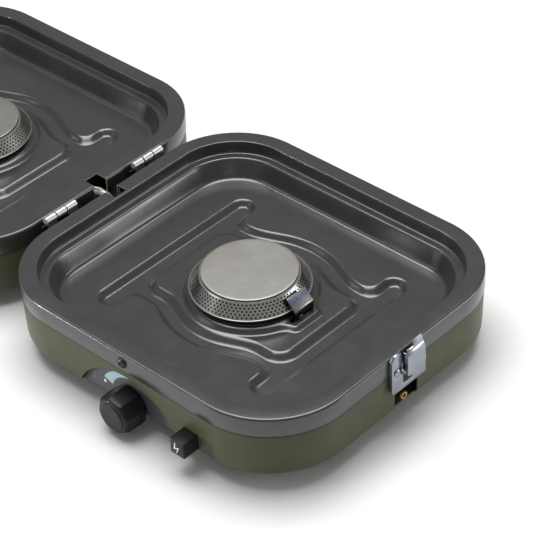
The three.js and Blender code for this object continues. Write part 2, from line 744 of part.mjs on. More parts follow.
function latchPin() {
  return rodAlongY(1, CHEEK_LEFT - 0.5, CHEEK_RIGHT + 1.7, LATCH_PIN_X, LATCH_PIN_Z, 12);
}

// Closed outer shape of the torsion spring's coils round the pin.
function latchSpring() {
  const ring = [[1.3, -4], [1.85, -4], [1.85, 4], [1.3, 4], [1.3, -4]];
  return turned(ring, 0, 0, 14).rotateX(Math.PI / 2).translate(LATCH_PIN_X, 0, LATCH_PIN_Z);
}

function latchRivet() {
  const head = [[0, 0], [3.4, 0], [3.2, 0.8], [2, 1.5], [0, 1.6]];
  return turned(head, 0, 0, 14).rotateY(Math.PI / 2).translate(PLATE_FRONT + CLEAR, -14.9, 45);
}

// Strike on the other half's outer side: a plate with a lip at the rim.
function latchStrike() {
  const wall = OUTER_EDGE + CLEAR;
  const plate = block([wall, wall + 1], [-2, 18], [46, 58.2]);
  const lip = block([wall, OUTER_EDGE + 2.6], [-2, 18], [57, 58.2]);
  return joined(plate, lip);
}

// ---- Assembly ----

const stove = new THREE.Group();

function add(group, name, geometry, material, mirror = false) {
  const shape = closed(geometry);
  const mesh = new THREE.Mesh(mirror ? mirrored(shape) : shape, material);
  mesh.name = name;
  group.add(mesh);
}

const FOOT_OFFSET_X = 116;
const FOOT_OFFSET_Y = 100;

function addHalf(side, mirror) {
  const half = new THREE.Group();
  const put = (name, geometry, material) => add(half, `${side}_${name}`, geometry, material, mirror);
  put("housing", housing(side === "right"), OLIVE);
  put("tray", tray(), COATING);
  put("control_panel", controlPanel(), PANEL_GREY);
  put("tray_screw", frontScrew(), BLACK_STEEL);
  put("burner_base", burnerBase(), ALUMINIUM);
  put("burner_band", burnerBand(), PERFORATED);
  put("burner_cap", burnerCap(), STAINLESS);
  put("burner_tube", burnerTube(), ALUMINIUM);
  put("igniter_shield", igniterShield(), STAINLESS);
  put("electrode", electrode(), CERAMIC);
  put("valve_body", valveBody(), BRASS);
  put("valve_stem", valveStem(), BRASS);
  put("knob", knob(), BLACK_PLASTIC);
  put("igniter_button", igniterButton(), BLACK_PLASTIC);
  put("piezo_unit", piezoUnit(), BLACK_PLASTIC);
  put("ignition_lead", ignitionLead(), WIRE);
  put("link_pipe", linkPipe(), BRASS);
  put("hose_ferrule", hoseFerrule(), BRASS);
  for (const [row, y] of [["front", -FOOT_OFFSET_Y], ["back", FOOT_OFFSET_Y]]) {
    put(`foot_${row}_inner`, foot(CENTRE_X - FOOT_OFFSET_X, y), RUBBER);
    put(`foot_${row}_outer`, foot(CENTRE_X + FOOT_OFFSET_X, y), RUBBER);
  }
  stove.add(half);
}

addHalf("right", false);
addHalf("left", true);

const middle = new THREE.Group();
for (const [place, centre] of Object.entries(HINGE_CENTRES)) {
  add(middle, `hinge_${place}_right_leaf`, hingeLeaf(centre, [0, 2]), ZINC);
  add(middle, `hinge_${place}_left_leaf`, hingeLeaf(centre, [1]), ZINC, true);
  add(middle, `hinge_${place}_pin`, hingePin(centre), ZINC);
}
add(middle, "link_hose", linkHose(), BRAID);
stove.add(middle);

const rightSide = new THREE.Group();
add(rightSide, "inlet_pipe", inletPipe(), BRASS);
add(rightSide, "inlet_nipple", inletNipple(), BRASS);
add(rightSide, "inlet_bracket", inletBracket(), ZINC);
add(rightSide, "latch_base", latchBase(), ZINC);
add(rightSide, "latch_hook", latchHook(), ZINC);
add(rightSide, "latch_pin", latchPin(), ZINC);
add(rightSide, "latch_spring", latchSpring(), ZINC);
add(rightSide, "latch_rivet", latchRivet(), ZINC);
stove.add(rightSide);

const leftSide = new THREE.Group();
add(leftSide, "latch_strike", latchStrike(), ZINC, true);
stove.add(leftSide);

// The stove stands on its feet, with the origin under the middle of its box.
const extent = new THREE.Box3().setFromObject(stove);
const middlePoint = extent.getCenter(new THREE.Vector3());
stove.position.set(-middlePoint.x, -middlePoint.y, -extent.min.z);

const object = new THREE.Group();
object.add(stove);

export default object;
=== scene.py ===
import json
import math

import bmesh
import bpy
import numpy as np
from mathutils import Matrix, Vector


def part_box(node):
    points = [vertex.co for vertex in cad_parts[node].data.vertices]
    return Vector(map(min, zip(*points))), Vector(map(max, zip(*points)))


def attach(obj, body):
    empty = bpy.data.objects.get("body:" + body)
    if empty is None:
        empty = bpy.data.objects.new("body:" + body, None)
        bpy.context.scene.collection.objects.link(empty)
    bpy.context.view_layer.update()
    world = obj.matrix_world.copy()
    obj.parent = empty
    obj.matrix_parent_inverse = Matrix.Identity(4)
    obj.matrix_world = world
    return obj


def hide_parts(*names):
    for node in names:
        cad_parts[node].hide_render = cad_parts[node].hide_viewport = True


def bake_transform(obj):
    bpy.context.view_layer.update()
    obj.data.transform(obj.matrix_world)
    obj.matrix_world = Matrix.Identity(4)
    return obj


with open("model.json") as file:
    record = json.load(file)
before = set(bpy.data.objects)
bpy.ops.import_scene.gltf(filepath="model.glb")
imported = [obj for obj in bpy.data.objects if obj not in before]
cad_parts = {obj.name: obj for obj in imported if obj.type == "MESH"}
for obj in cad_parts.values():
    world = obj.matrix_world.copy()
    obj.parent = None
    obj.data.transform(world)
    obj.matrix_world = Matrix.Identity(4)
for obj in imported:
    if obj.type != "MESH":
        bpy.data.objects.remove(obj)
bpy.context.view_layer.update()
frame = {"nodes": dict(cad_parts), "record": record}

# ---- Driving dimensions, in millimetres ----
# The hinge line is at x = 0 and the housings' undersides are at z = 0.

HALF_WIDTH = 323.0
HALF_DEPTH = 290.0
CORNER_RADIUS = 72.0
RIM_EDGE = 2.2
SHEET = 1.0
INNER_EDGE = 6.0
OUTER_EDGE = INNER_EDGE + HALF_WIDTH
CENTRE_X = INNER_EDGE + HALF_WIDTH / 2
FRONT = -HALF_DEPTH / 2
RIM_HEIGHT = 58.4
SKIRT_BOTTOM = 41.5
FOLD_HEIGHT = 60.0
FOOT_HEIGHT = 15.0

FLOOR_HEIGHT = 30.0
FLOOR_INSET = 34
CHANNEL_DEPTH = 5.0
BOSS_RISE = 3.0
RAMP = 9.0
OUTER_RAMP = 7.0
BOSS_RAMP = 5.0
DOME_RISE = 4.7
DOME_RADIUS = 52.5
DOME_SLOPE = 0.49
BURNER_HOLE_RADIUS = 30.0

ARCH_RADIUS = 58.5
ARCH_CENTRE_Z = -24.4
PANEL_FRONT = FRONT + 6.5
PANEL_THICKNESS = 1.2
KNOB_Z = 5.0
BUTTON_X = 236.5
BUTTON_Z = 12.0
BUTTON_SIZE = 14.8
BUTTON_FRONT = FRONT - 13.9
SCREW_Z = 50.0
SCREW_HOLE_RADIUS = 2.2
BURNER_Y = -1.5
ELECTRODE_X = CENTRE_X + 52.8

CREASE = 35
BEVEL_ANGLE = 30
TINY = 1e-6


def frame_offset():
    """From the drawing's origin to the row frame's, in millimetres."""
    lo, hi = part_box("right_tray")
    return np.array([lo.x * 1000 - INNER_EDGE, (lo.y + hi.y) * 500, hi.z * 1000 - RIM_HEIGHT])


OFFSET = frame_offset()
RAISED = OFFSET[2]


def metres(points):
    return (np.asarray(points, float) + OFFSET) / 1000


# ---- Node materials ----


class Nodes:
    """A material's node tree, built with short calls."""

    def __init__(self, name, color, roughness, metallic=0.0, **sockets):
        self.material = bpy.data.materials.new(name)
        self.material.use_nodes = True
        self.tree = self.material.node_tree
        self.shader = self.tree.nodes["Principled BSDF"]
        self.shader.inputs["Base Color"].default_value = (*color, 1)
        self.shader.inputs["Roughness"].default_value = roughness
        self.shader.inputs["Metallic"].default_value = metallic
        for socket, value in sockets.items():
            self.shader.inputs[socket.replace("_", " ")].default_value = value
        self.where = self.tree.nodes.new("ShaderNodeTexCoord").outputs["Object"]

    def link(self, output, target):
        self.tree.links.new(output, target)

    def stretched(self, scale):
        node = self.tree.nodes.new("ShaderNodeMapping")
        node.inputs["Scale"].default_value = scale
        self.link(self.where, node.inputs["Vector"])
        return node.outputs["Vector"]

    def noise(self, size, detail=3.0, roughness=0.5, vector=None, distortion=0.0):
        """Noise whose features are about `size` millimetres across."""
        node = self.tree.nodes.new("ShaderNodeTexNoise")
        node.inputs["Scale"].default_value = 1000.0 / size
        node.inputs["Detail"].default_value = detail
        node.inputs["Roughness"].default_value = roughness
        node.inputs["Distortion"].default_value = distortion
        self.link(vector or self.where, node.inputs["Vector"])
        return node.outputs["Fac"]

    def ramp(self, factor, stops):
        """Stops are (position, value or colour)."""
        node = self.tree.nodes.new("ShaderNodeValToRGB")
        elements = node.color_ramp.elements
        while len(elements) < len(stops):
            elements.new(0.5)
        for element, (position, value) in zip(elements, stops):
            element.position = position
            color = value if isinstance(value, tuple) else (value, value, value)
            element.color = (*color, 1)
        self.link(factor, node.inputs["Fac"])
        return node.outputs["Color"]

    def mixed(self, factor, first, second):
        node = self.tree.nodes.new("ShaderNodeMix")
        node.data_type = "RGBA"
        for place, value in ((0, factor), (6, first), (7, second)):
            socket = node.inputs[place]
            if isinstance(value, (int, float)):
                socket.default_value = value
            elif isinstance(value, tuple):
                socket.default_value = (*value, 1)
            else:
                self.link(value, socket)
        return node.outputs[2]

    def math(self, operation, first, second=None):
        node = self.tree.nodes.new("ShaderNodeMath")
        node.operation = operation
        for socket, value in zip(node.inputs, (first, second)):
            if isinstance(value, (int, float)):
                socket.default_value = value
            elif value is not None:
                self.link(value, socket)
        return node.outputs[0]

    def axis(self, name):
        node = self.tree.nodes.new("ShaderNodeSeparateXYZ")
        self.link(self.where, node.inputs[0])
        return node.outputs[name]

    def color(self, output):
        self.link(output, self.shader.inputs["Base Color"])

    def rough(self, output):
        self.link(output, self.shader.inputs["Roughness"])

    def clouded(self, color, size, detail, dark, light):
        """Colour that wanders between a darker and a lighter shade."""
        shades = [(0.3, shade(color, dark)), (0.7, shade(color, light))]
        self.color(self.ramp(self.noise(size, detail), shades))

    def worn(self, size, detail, low, high):
        """Roughness that wanders between two values."""
        self.rough(self.ramp(self.noise(size, detail), [(0.3, low), (0.7, high)]))

    def bump(self, height, depth):
        """Bump with a height of `depth` millimetres."""
        node = self.tree.nodes.new("ShaderNodeBump")
        node.inputs["Strength"].default_value = 1.0
        node.inputs["Distance"].default_value = depth / 1000
        self.link(height, node.inputs["Height"])
        self.link(node.outputs["Normal"], self.shader.inputs["Normal"])


def shade(color, factor):
    return tuple(channel * factor for channel in color)


def powder_coat(name, color, roughness, **sockets):
    """Sprayed paint: faint cloudiness, fine orange peel, and roughness that wanders a little."""
    m = Nodes(name, color, roughness, **sockets)
    clouds = m.ramp(m.noise(55, 4), [(0.3, shade(color, 0.92)), (0.7, shade(color, 1.08))])
    specks = m.ramp(m.noise(0.7, 2), [(0.62, 0.0), (0.74, 1.0)])
    m.color(m.mixed(m.math("MULTIPLY", specks, 0.18), clouds, shade(color, 1.9)))
    m.rough(m.ramp(m.noise(14, 5, 0.6), [(0.3, roughness - 0.05), (0.7, roughness + 0.06)]))
    m.bump(m.noise(0.9, 2), 0.012)
    return m.material


def tray_coating():
    """Dark non-stick coating: satin, with a soft sheen, fine grain and faint rubbed patches."""
    color = (0.028, 0.028, 0.0295)
    m = Nodes("tray_coating", color, 0.24, Specular_IOR_Level=0.85)
    clouds = m.ramp(m.noise(38, 5, 0.55), [(0.3, shade(color, 0.88)), (0.7, shade(color, 1.14))])
    specks = m.ramp(m.noise(0.8, 2), [(0.64, 0.0), (0.78, 1.0)])
    m.color(m.mixed(m.math("MULTIPLY", specks, 0.25), clouds, shade(color, 2.4)))
    rubbed = m.noise(22, 6, 0.62, distortion=0.4)
    m.rough(m.ramp(rubbed, [(0.3, 0.2), (0.72, 0.28)]))
    m.bump(m.noise(0.9, 3), 0.008)
    return m.material


def steel(name, color, roughness, streaks, depth=0.004, tint=None, spread=0.07):
    """Rolled or brushed steel: streaks along the axis with the small scale, and faint blotches."""
    m = Nodes(name, color, roughness, 1.0)
    blotch = m.ramp(m.noise(17, 5, 0.6), [(0.3, shade(color, 0.88)), (0.72, shade(color, 1.08))])
    if tint is not None:
        blotch = m.mixed(m.ramp(m.noise(30, 3), [(0.45, 0.0), (0.8, 1.0)]), blotch, tint)
    m.color(blotch)
    grain = m.noise(0.5, 3, 0.6, m.stretched(streaks))
    m.rough(m.ramp(grain, [(0.25, roughness - spread), (0.75, roughness + spread)]))
    m.bump(grain, depth)
    return m.material


def heat_tinted_steel():
    """Steel that the flame has coloured: blue by the burner, then grey, straw and pink down the slope, then
    near black low down, which is painted shade.
    """
    m = Nodes("heat_tinted_steel", (0.45, 0.45, 0.46), 0.3, 1.0)
    drop = m.math("SUBTRACT", (RAISED + 51.5) / 1000, m.axis("Z"))
    wobble = m.math("MULTIPLY", m.math("SUBTRACT", m.noise(6, 3), 0.5), 0.007)
    reach = m.math("MULTIPLY", m.math("ADD", drop, wobble), 62)
    tints_and_shade = m.ramp(reach, [
        (0.0, (0.42, 0.44, 0.46)),
        (0.16, (0.2, 0.23, 0.36)),
        (0.3, (0.28, 0.28, 0.36)),
        (0.44, (0.32, 0.33, 0.31)),
        (0.58, (0.3, 0.27, 0.24)),
        # Near black low down: painted shade.
        (0.66, (0.05, 0.047, 0.038)),
    ])
    blush = m.ramp(m.noise(9, 3), [(0.5, 0.0), (0.75, 0.7)])
    pink = m.math("MULTIPLY", blush, m.ramp(reach, [(0.55, 0.6), (0.66, 0.0)]))
    m.color(m.mixed(pink, tints_and_shade, (0.32, 0.26, 0.27)))
    m.worn(1.5, 4, 0.26, 0.4)
    m.bump(m.noise(1.2, 3), 0.01)
    return m.material


def mottled(name, color, roughness, clouds, wear, grain, depth, **sockets):
    """Clouds are (size, detail, dark, light), and wear is (size, detail, low, high)."""
    m = Nodes(name, color, roughness, **sockets)
    m.clouded(color, *clouds)
    m.worn(*wear)
    m.bump(m.noise(*grain), depth)
    return m.material


def plastic(name, color, roughness):
    wear = (3, 4, roughness - 0.05, roughness + 0.07)
    return mottled(name, color, roughness, (9, 4, 0.85, 1.2), wear, (0.35, 2), 0.012, Specular_IOR_Level=0.24)


def rubber(name, color):
    return mottled(name, color, 0.75, (6, 4, 0.8, 1.35), (2, 3, 0.68, 0.86), (0.6, 3), 0.03)


def printed(name, color):
    return mottled(name, color, 0.45, (1.4, 3, 0.93, 1.05), (2.5, 3, 0.38, 0.52), (0.5, 2), 0.006)


def glazed(name, color):
    return mottled(name, color, 0.25, (3, 3, 0.94, 1.02), (2, 3, 0.18, 0.32), (1.0, 2), 0.01)


ALONG_X = (0.06, 1, 1)
ALONG_Y = (1, 0.06, 1)
ALONG_Z = (1, 1, 0.06)
EVEN = (1, 1, 1)

MATERIALS = {
    "olive_paint": powder_coat("olive_paint", (0.066, 0.0715, 0.036), 0.43, Specular_IOR_Level=0.3),
    "tray_coating": tray_coating(),
    "panel_grey": powder_coat("panel_grey", (0.066, 0.069, 0.071), 0.45),
    "black_steel": powder_coat("black_steel", (0.006, 0.006, 0.0065), 0.38),
    "cast_aluminium": steel("cast_aluminium", (0.2, 0.2, 0.195), 0.5, EVEN, 0.02),
    "perforated_steel": steel("perforated_steel", (0.54, 0.525, 0.5), 0.22, ALONG_Z, 0.004),
    "satin_steel": steel("satin_steel", (0.32, 0.317, 0.3), 0.43, EVEN, 0.006, tint=(0.29, 0.27, 0.235)),
    "heat_tinted_steel": heat_tinted_steel(),
    "ceramic": glazed("ceramic", (0.78, 0.75, 0.68)),
    "brass": steel("brass", (0.6, 0.35, 0.16), 0.3, EVEN, 0.006),
    "black_plastic": plastic("black_plastic", (0.012, 0.0125, 0.014), 0.36),
    "lead_rubber": rubber("lead_rubber", (0.02, 0.02, 0.021)),
    "foot_rubber": rubber("foot_rubber", (0.014, 0.014, 0.014)),
    "chrome_hinge": steel("chrome_hinge", (0.5, 0.505, 0.51), 0.42, ALONG_Y, 0.002, spread=0.04),
    "braided_hose": steel("braided_hose", (0.6, 0.59, 0.55), 0.32, ALONG_X, 0.004),
    "zinc_plate": steel("zinc_plate", (0.3, 0.325, 0.35), 0.26, ALONG_Y, 0.006, tint=(0.25, 0.27, 0.33)),
}
CUT_EDGE = glazed("cut_steel_edge", (0.4, 0.385, 0.32))
# Near-black steel for the hinge plates and straps: they are chrome like the barrels, painted near black as
# shade.
PAINTED_SHADE_STEEL = steel("painted_shade_steel", (0.07, 0.07, 0.07), 0.5, EVEN, 0.01)
# A darker copy of the band's steel for its rolled lip: painted shade.
SHADED_LIP_STEEL = steel("shaded_lip_steel", (0.28, 0.275, 0.26), 0.33, EVEN, 0.006)
DIAL_PRINT = printed("dial_print", (0.4, 0.57, 0.62))
FAINT_PRINT = printed("faint_print", (0.2, 0.205, 0.205))
WHITE_PRINT = printed("white_print", (0.78, 0.78, 0.76))
# Near black: painted shade on the burner's steel shroud behind the holes, and the black rubber of the hose's
# core.
SHADE_AND_RUBBER_BLACK = plastic("shade_and_rubber_black", (0.006, 0.006, 0.006), 0.8)


# ---- Meshes ----


def new_object(name, verts, faces, material, sharp=CREASE):
    """A smooth-shaded object from millimetre points, with edges sharper than `sharp` degrees kept crisp."""
    mesh = bpy.data.meshes.new(name)
    mesh.from_pydata(metres(verts).tolist(), [], [tuple(f) for f in faces])
    mesh.materials.append(material)
    outward(mesh)
    smooth(mesh, sharp)
    return placed(name, mesh)


def placed(name, data):
    """A new object in the scene."""
    obj = bpy.data.objects.new(name, data)
    bpy.context.scene.collection.objects.link(obj)
    return obj


def outward(mesh):
    bm = bmesh.new()
    bm.from_mesh(mesh)
    bmesh.ops.recalc_face_normals(bm, faces=bm.faces)
    bm.to_mesh(mesh)
    bm.free()


def smooth(mesh, sharp):
    mesh.polygons.foreach_set("use_smooth", np.ones(len(mesh.polygons), bool))
    mesh.set_sharp_from_angle(angle=math.radians(sharp))


def applied(obj, sharp=CREASE):
    """The object with its modifiers made part of its mesh."""
    graph = bpy.context.evaluated_depsgraph_get()
    mesh = bpy.data.meshes.new_from_object(obj.evaluated_get(graph))
    old = obj.data
    obj.modifiers.clear()
    obj.data = mesh
    bpy.data.meshes.remove(old)
    mesh.name = obj.name
    smooth(mesh, sharp)
    return obj


def bevelled(obj, width, segments=2):
    modifier = obj.modifiers.new("bevel", "BEVEL")
    modifier.width = width / 1000
    modifier.segments = segments
    modifier.limit_method = "ANGLE"
    modifier.angle_limit = math.radians(BEVEL_ANGLE)
    modifier.harden_normals = False
    return applied(obj)


def carved(obj, *tools, sharp=CREASE):
    """The object with the tools cut away; each cut face takes its tool's material."""
    for tool in tools:
        modifier = obj.modifiers.new("cut", "BOOLEAN")
        modifier.operation = "DIFFERENCE"
        modifier.solver = "EXACT"
        modifier.material_mode = "TRANSFER"
        modifier.object = tool
    applied(obj, sharp)
    for tool in tools:
        bpy.data.objects.remove(tool)
    return obj


def mirror_image(obj, name):
    """The object's copy on the other half."""
    copy = obj.copy()
    copy.data = obj.data.copy()
    copy.name = name
    copy.data.name = name
    bpy.context.scene.collection.objects.link(copy)
    fold_line = OFFSET[0] / 1000
    co = np.empty(len(copy.data.vertices) * 3)
    copy.data.vertices.foreach_get("co", co)
    co = co.reshape(-1, 3)
    co[:, 0] = 2 * fold_line - co[:, 0]
    copy.data.vertices.foreach_set("co", co.ravel())
    copy.data.flip_normals()
    copy.data.update()
    return copy


def settle(obj, body, slot, *nodes):
    """The piece rides on its body and hides the CAD nodes it stands for; its slot is not used."""
    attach(obj, body)
    if nodes:
        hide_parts(*nodes)
    return obj


def moved_across(obj, name):
    """The object's mirror image on the other half, in its place."""
    twin = mirror_image(obj, name)
    bpy.data.objects.remove(obj)
    return twin


def both_halves(obj, part, slot, body="half"):
    """Puts the right half's piece in place, and its mirror image on the left half."""
    obj.name = f"right_{part}_visual"
    pieces = {"right": obj, "left": mirror_image(obj, f"left_{part}_visual")}
    for side, piece in pieces.items():
        node = f"{side}_{part}"
        stands_for = [node] if node in frame["nodes"] else []
        settle(piece, f"{side}_{body}", slot, *stands_for)
    return obj


def grid_faces(rows, columns, wrap_rows=False):
    """Quads over a grid of points, where each row closes on itself."""
    rr, cc = np.meshgrid(np.arange(rows if wrap_rows else rows - 1), np.arange(columns), indexing="ij")
    r2, c2 = (rr + 1) % rows, (cc + 1) % columns
    corners = [rr * columns + cc, rr * columns + c2, r2 * columns + c2, r2 * columns + cc]
    return np.stack(corners, -1).reshape(-1, 4)


def capped_grid(loops):
    """Skin over a stack of loops, with a flat cap on each end."""
    loops = np.asarray(loops, float)
    rows, columns = loops.shape[:2]
    faces = grid_faces(rows, columns).tolist()
    faces.append(list(range(columns))[::-1])
    faces.append([(rows - 1) * columns + i for i in range(columns)])
    return loops.reshape(-1, 3), faces


def skinned(name, loops, material, sharp=CREASE):
    """A solid with its skin over a stack of loops."""
    return new_object(name, *capped_grid(loops), material, sharp)


def span(centre, half):
    return centre - half, centre + half


def arc(cx, cy, radius, start, end, steps):
    """Points on an arc, with the angles in degrees."""
    angles = np.radians(np.linspace(start, end, steps + 1))
    return [(cx + radius * math.cos(a), cy + radius * math.sin(a)) for a in angles]


def turned(name, profile, material, x=0.0, y=0.0, steps=64, axis="z"):
    """A profile of (radius, height) turned about an axis through (x, y).

    It is a closed ring if it ends where it starts.
    """
    profile = [p for i, p in enumerate(profile) if i == 0 or math.dist(p, profile[i - 1]) > TINY]
    ring = math.dist(profile[0], profile[-1]) < TINY
    if ring:
        profile = profile[:-1]
    angles = np.linspace(0, 2 * math.pi, steps, endpoint=False)
    loops = [[(r * math.cos(a), r * math.sin(a), z) for a in angles] for r, z in profile if r > TINY]
    verts = np.array(loops, float)
    if ring:
        faces = grid_faces(len(loops), steps, wrap_rows=True).tolist()
        verts = verts.reshape(-1, 3)
    else:
        verts, faces = capped_grid(loops)
    order, place = {
        "x": ([2, 0, 1], (0.0, x, y)),
        "y": ([0, 2, 1], (x, 0.0, y)),
        "z": ([0, 1, 2], (x, y, 0.0)),
    }[axis]
    return new_object(name, verts[:, order] + np.array(place), faces, material)


def prism(name, outline, low, high, material, axis="y", bevel=0.0, segments=2):
    """A flat outline pushed along an axis: (x, z) along y, (y, z) along x, or (x, y) along z."""
    places = {
        "x": lambda p, t: (t, p[0], p[1]),
        "y": lambda p, t: (p[0], t, p[1]),
        "z": lambda p, t: (p[0], p[1], t),
    }
    obj = skinned(name, [[places[axis](p, t) for p in outline] for t in (low, high)], material)
    return bevelled(obj, bevel, segments) if bevel else obj


def brick(name, x, y, z, material, bevel=0.0, segments=3):
    outline = [(x[0], z[0]), (x[1], z[0]), (x[1], z[1]), (x[0], z[1])]
    return prism(name, outline, y[0], y[1], material, "y", bevel, segments)


def joined(name, *objects):
    """Several objects as one piece."""
    first = objects[0]
    bm = bmesh.new()
    slots = []
    for obj in objects:
        mesh = obj.data
        start = len(bm.faces)
        bm.from_mesh(mesh)
        bm.faces.ensure_lookup_table()
        places = []
        for material in mesh.materials:
            if material not in slots:
                slots.append(material)
            places.append(slots.index(material))
        for face in bm.faces[start:]:
            face.material_index = places[face.material_index]
    mesh = bpy.data.meshes.new(name)
    bm.to_mesh(mesh)
    bm.free()
    for material in slots:
        mesh.materials.append(material)
    for obj in objects[1:]:
        bpy.data.objects.remove(obj)
    first.data = mesh
    first.name = name
    smooth(mesh, CREASE)
    return first


def unit(vectors):
    return vectors / np.linalg.norm(vectors, axis=1)[:, None]


def sheet_outline(path, thickness):
    """The outline of a bent strip with this centre line."""
    path = np.asarray(path, float)
    ahead = unit(np.gradient(path, axis=0))
    aside = np.stack([-ahead[:, 1], ahead[:, 0]], 1) * thickness / 2
    return [tuple(p) for p in np.vstack([path + aside, (path - aside)[::-1]])]


def swept(name, path, radius, material, sides):
    """A round tube with closed ends along a list of points."""
    verts, faces = tube_mesh(np.asarray(path, float), radius, sides)
    return new_object(name, verts, faces, material, 60)


def frames_along(path):
    """Two unit normals at each point of a path, carried along without twist."""
    ahead = unit(np.gradient(path, axis=0))
    side = np.zeros_like(path)
    seed = np.array([0.0, 1.0, 0.0]) if abs(ahead[0][1]) < 0.9 else np.array([1.0, 0.0, 0.0])
    for i, t in enumerate(ahead):
        seed = seed - t * (seed @ t)
        seed /= np.linalg.norm(seed)
        side[i] = seed
    return side, np.cross(ahead, side)


def tube_mesh(path, radius, sides):
    side, up = frames_along(path)
    angles = np.linspace(0, 2 * math.pi, sides, endpoint=False)
    loops = [
        p + radius * (np.outer(np.cos(angles), s) + np.outer(np.sin(angles), u))
        for p, s, u in zip(path, side, up)
    ]
    return capped_grid(loops)


def spline(points, steps):
    """A smooth curve through the points (centripetal Catmull-Rom)."""
    p = np.asarray(points, float)
    p = np.vstack([2 * p[0] - p[1], p, 2 * p[-1] - p[-2]])
    lengths = [np.linalg.norm(p[i + 1] - p[i]) for i in range(1, len(p) - 2)]
    curve = []
    for i in range(1, len(p) - 2):
        knots = [0.0]
        for k in range(3):
            knots.append(knots[-1] + max(np.linalg.norm(p[i + k] - p[i + k - 1]), TINY) ** 0.5)
        count = max(2, round(steps * lengths[i - 1] / sum(lengths)))
        for t in np.linspace(knots[1], knots[2], count, endpoint=False):
            a = [between(p[i + k - 1], p[i + k], knots[k], knots[k + 1], t) for k in range(3)]
            b = [between(a[k], a[k + 1], knots[k], knots[k + 2], t) for k in range(2)]
            curve.append(between(b[0], b[1], knots[1], knots[2], t))
    curve.append(p[-2])
    return np.array(curve)


def between(a, b, start, end, t):
    return a * (end - t) / (end - start) + b * (t - start) / (end - start)


# ---- Pressed tray ----

CORNER_STEPS = 40
STRAIGHT_X_STEPS = 108
STRAIGHT_Y_STEPS = 90
FLOOR_ROWS = 130
UNDERSIDE_ROWS = 60


def rim_outline(inset, corner=CORNER_STEPS, along_x=STRAIGHT_X_STEPS, along_y=STRAIGHT_Y_STEPS):
    """The half's rounded outline, set in, as points about its centre."""
    radius = CORNER_RADIUS - inset
    cx, cy = HALF_WIDTH / 2 - CORNER_RADIUS, HALF_DEPTH / 2 - CORNER_RADIUS
    centres = [(cx, cy, 0), (-cx, cy, 90), (-cx, -cy, 180), (cx, -cy, 270)]
    corners = [arc(x, y, radius, turn, turn + 90, corner) for x, y, turn in centres]
    points = []
    for i in range(4):
        start, end = np.array(corners[i][-1]), np.array(corners[(i + 1) % 4][0])
        count = along_y if i % 2 else along_x
        points += corners[i] + [tuple(start + (end - start) * k / count) for k in range(1, count)]
    return np.array(points)


def rounded_box(x, y, half_x, half_y, radius):
    qx, qy = np.abs(x) - half_x + radius, np.abs(y) - half_y + radius
    return np.hypot(np.maximum(qx, 0), np.maximum(qy, 0)) + np.minimum(np.maximum(qx, qy), 0) - radius


def blended(a, b, size):
    """The nearer of two distances, with the crease between them filleted."""
    h = np.clip(0.5 + 0.5 * (b - a) / size, 0, 1)
    return b + (a - b) * h - size * h * (1 - h)


def eased(t):
    t = np.clip(t, 0, 1)
    return t * t * (3 - 2 * t)


def floor_height(x, y):
    """Height of the floor: a channel with four lobes round an island, and a domed boss for the burner."""
    lobes = rounded_box(np.abs(x) - 84, y, 12, 90, 12)
    band = rounded_box(x, y, 84, 63.5, 1)
    outer = blended(blended(lobes, band, 12), np.hypot(x, y) - 79.5, 11)
    island = blended(rounded_box(x, y, 71, 43, 10), np.hypot(x, y) - 56.5, 10)
    inside = eased(-outer / OUTER_RAMP)
    outside = eased(island / RAMP)
    boss = blended(rounded_box(x - 30, y, 34, 18, 6), np.hypot(x, y) - 57, 9)
    from_burner = np.hypot(x, y - BURNER_Y)
    reach = DOME_RADIUS - from_burner
    dome = np.minimum(DOME_SLOPE * (reach + np.hypot(reach, 1.6)) / 2, DOME_RISE)
    rise = BOSS_RISE * eased(-boss / BOSS_RAMP) + dome
    return FLOOR_HEIGHT - CHANNEL_DEPTH * np.minimum(inside, outside) + rise


def level_row(outline, height):
    """An outline about the half's centre, put at a height."""
    return np.column_stack([outline[:, 0] + CENTRE_X, outline[:, 1], np.full(len(outline), height)])


def tray_profile():
    """(inset, height) of the tray's upper face from the floor's edge out to the skirt's lower edge."""
    slope = 66.4
    foot = arc(FLOOR_INSET, 34.54, 4.54, -90, -90 - slope, 7)
    wall = [(29.86 + (24.12 - 29.86) * t, 32.7 + (45.8 - 32.7) * t) for t in (0.25, 0.5, 0.75)]
    brow = arc(22.3, 45, 2, 90 - slope, 90, 6)
    heel = arc(17.6, 48.6, 1.6, -90, -177, 5)
    crown = arc(14.15, 57.3, 1.1, 4, 90, 5)
    edge = arc(RIM_EDGE, RIM_HEIGHT - RIM_EDGE, RIM_EDGE, 90, 180, 7)
    hem = [(0, 50), (0, 42.0), (0.12, SKIRT_BOTTOM + 0.12), (0.4, SKIRT_BOTTOM)]
    return foot + wall + brow + [(20, 47)] + heel + [(15.6, 53)] + crown + [(8, RIM_HEIGHT)] + edge + hem


# (inset, height) of the tray's lower face, from the skirt's lower edge in to the floor's edge.
UNDERSIDE = [
    (1.0, 41.6), (1.0, 56.6), (2.0, 57.4), (13.4, 57.4), (14.2, 56.6), (14.9, 48.6), (15.6, 46.9),
    (17.4, 46.0), (22.0, 46.0), (23.2, 45.0), (28.4, 33.0), (30.4, 30.2), (34.0, 29.0),
]


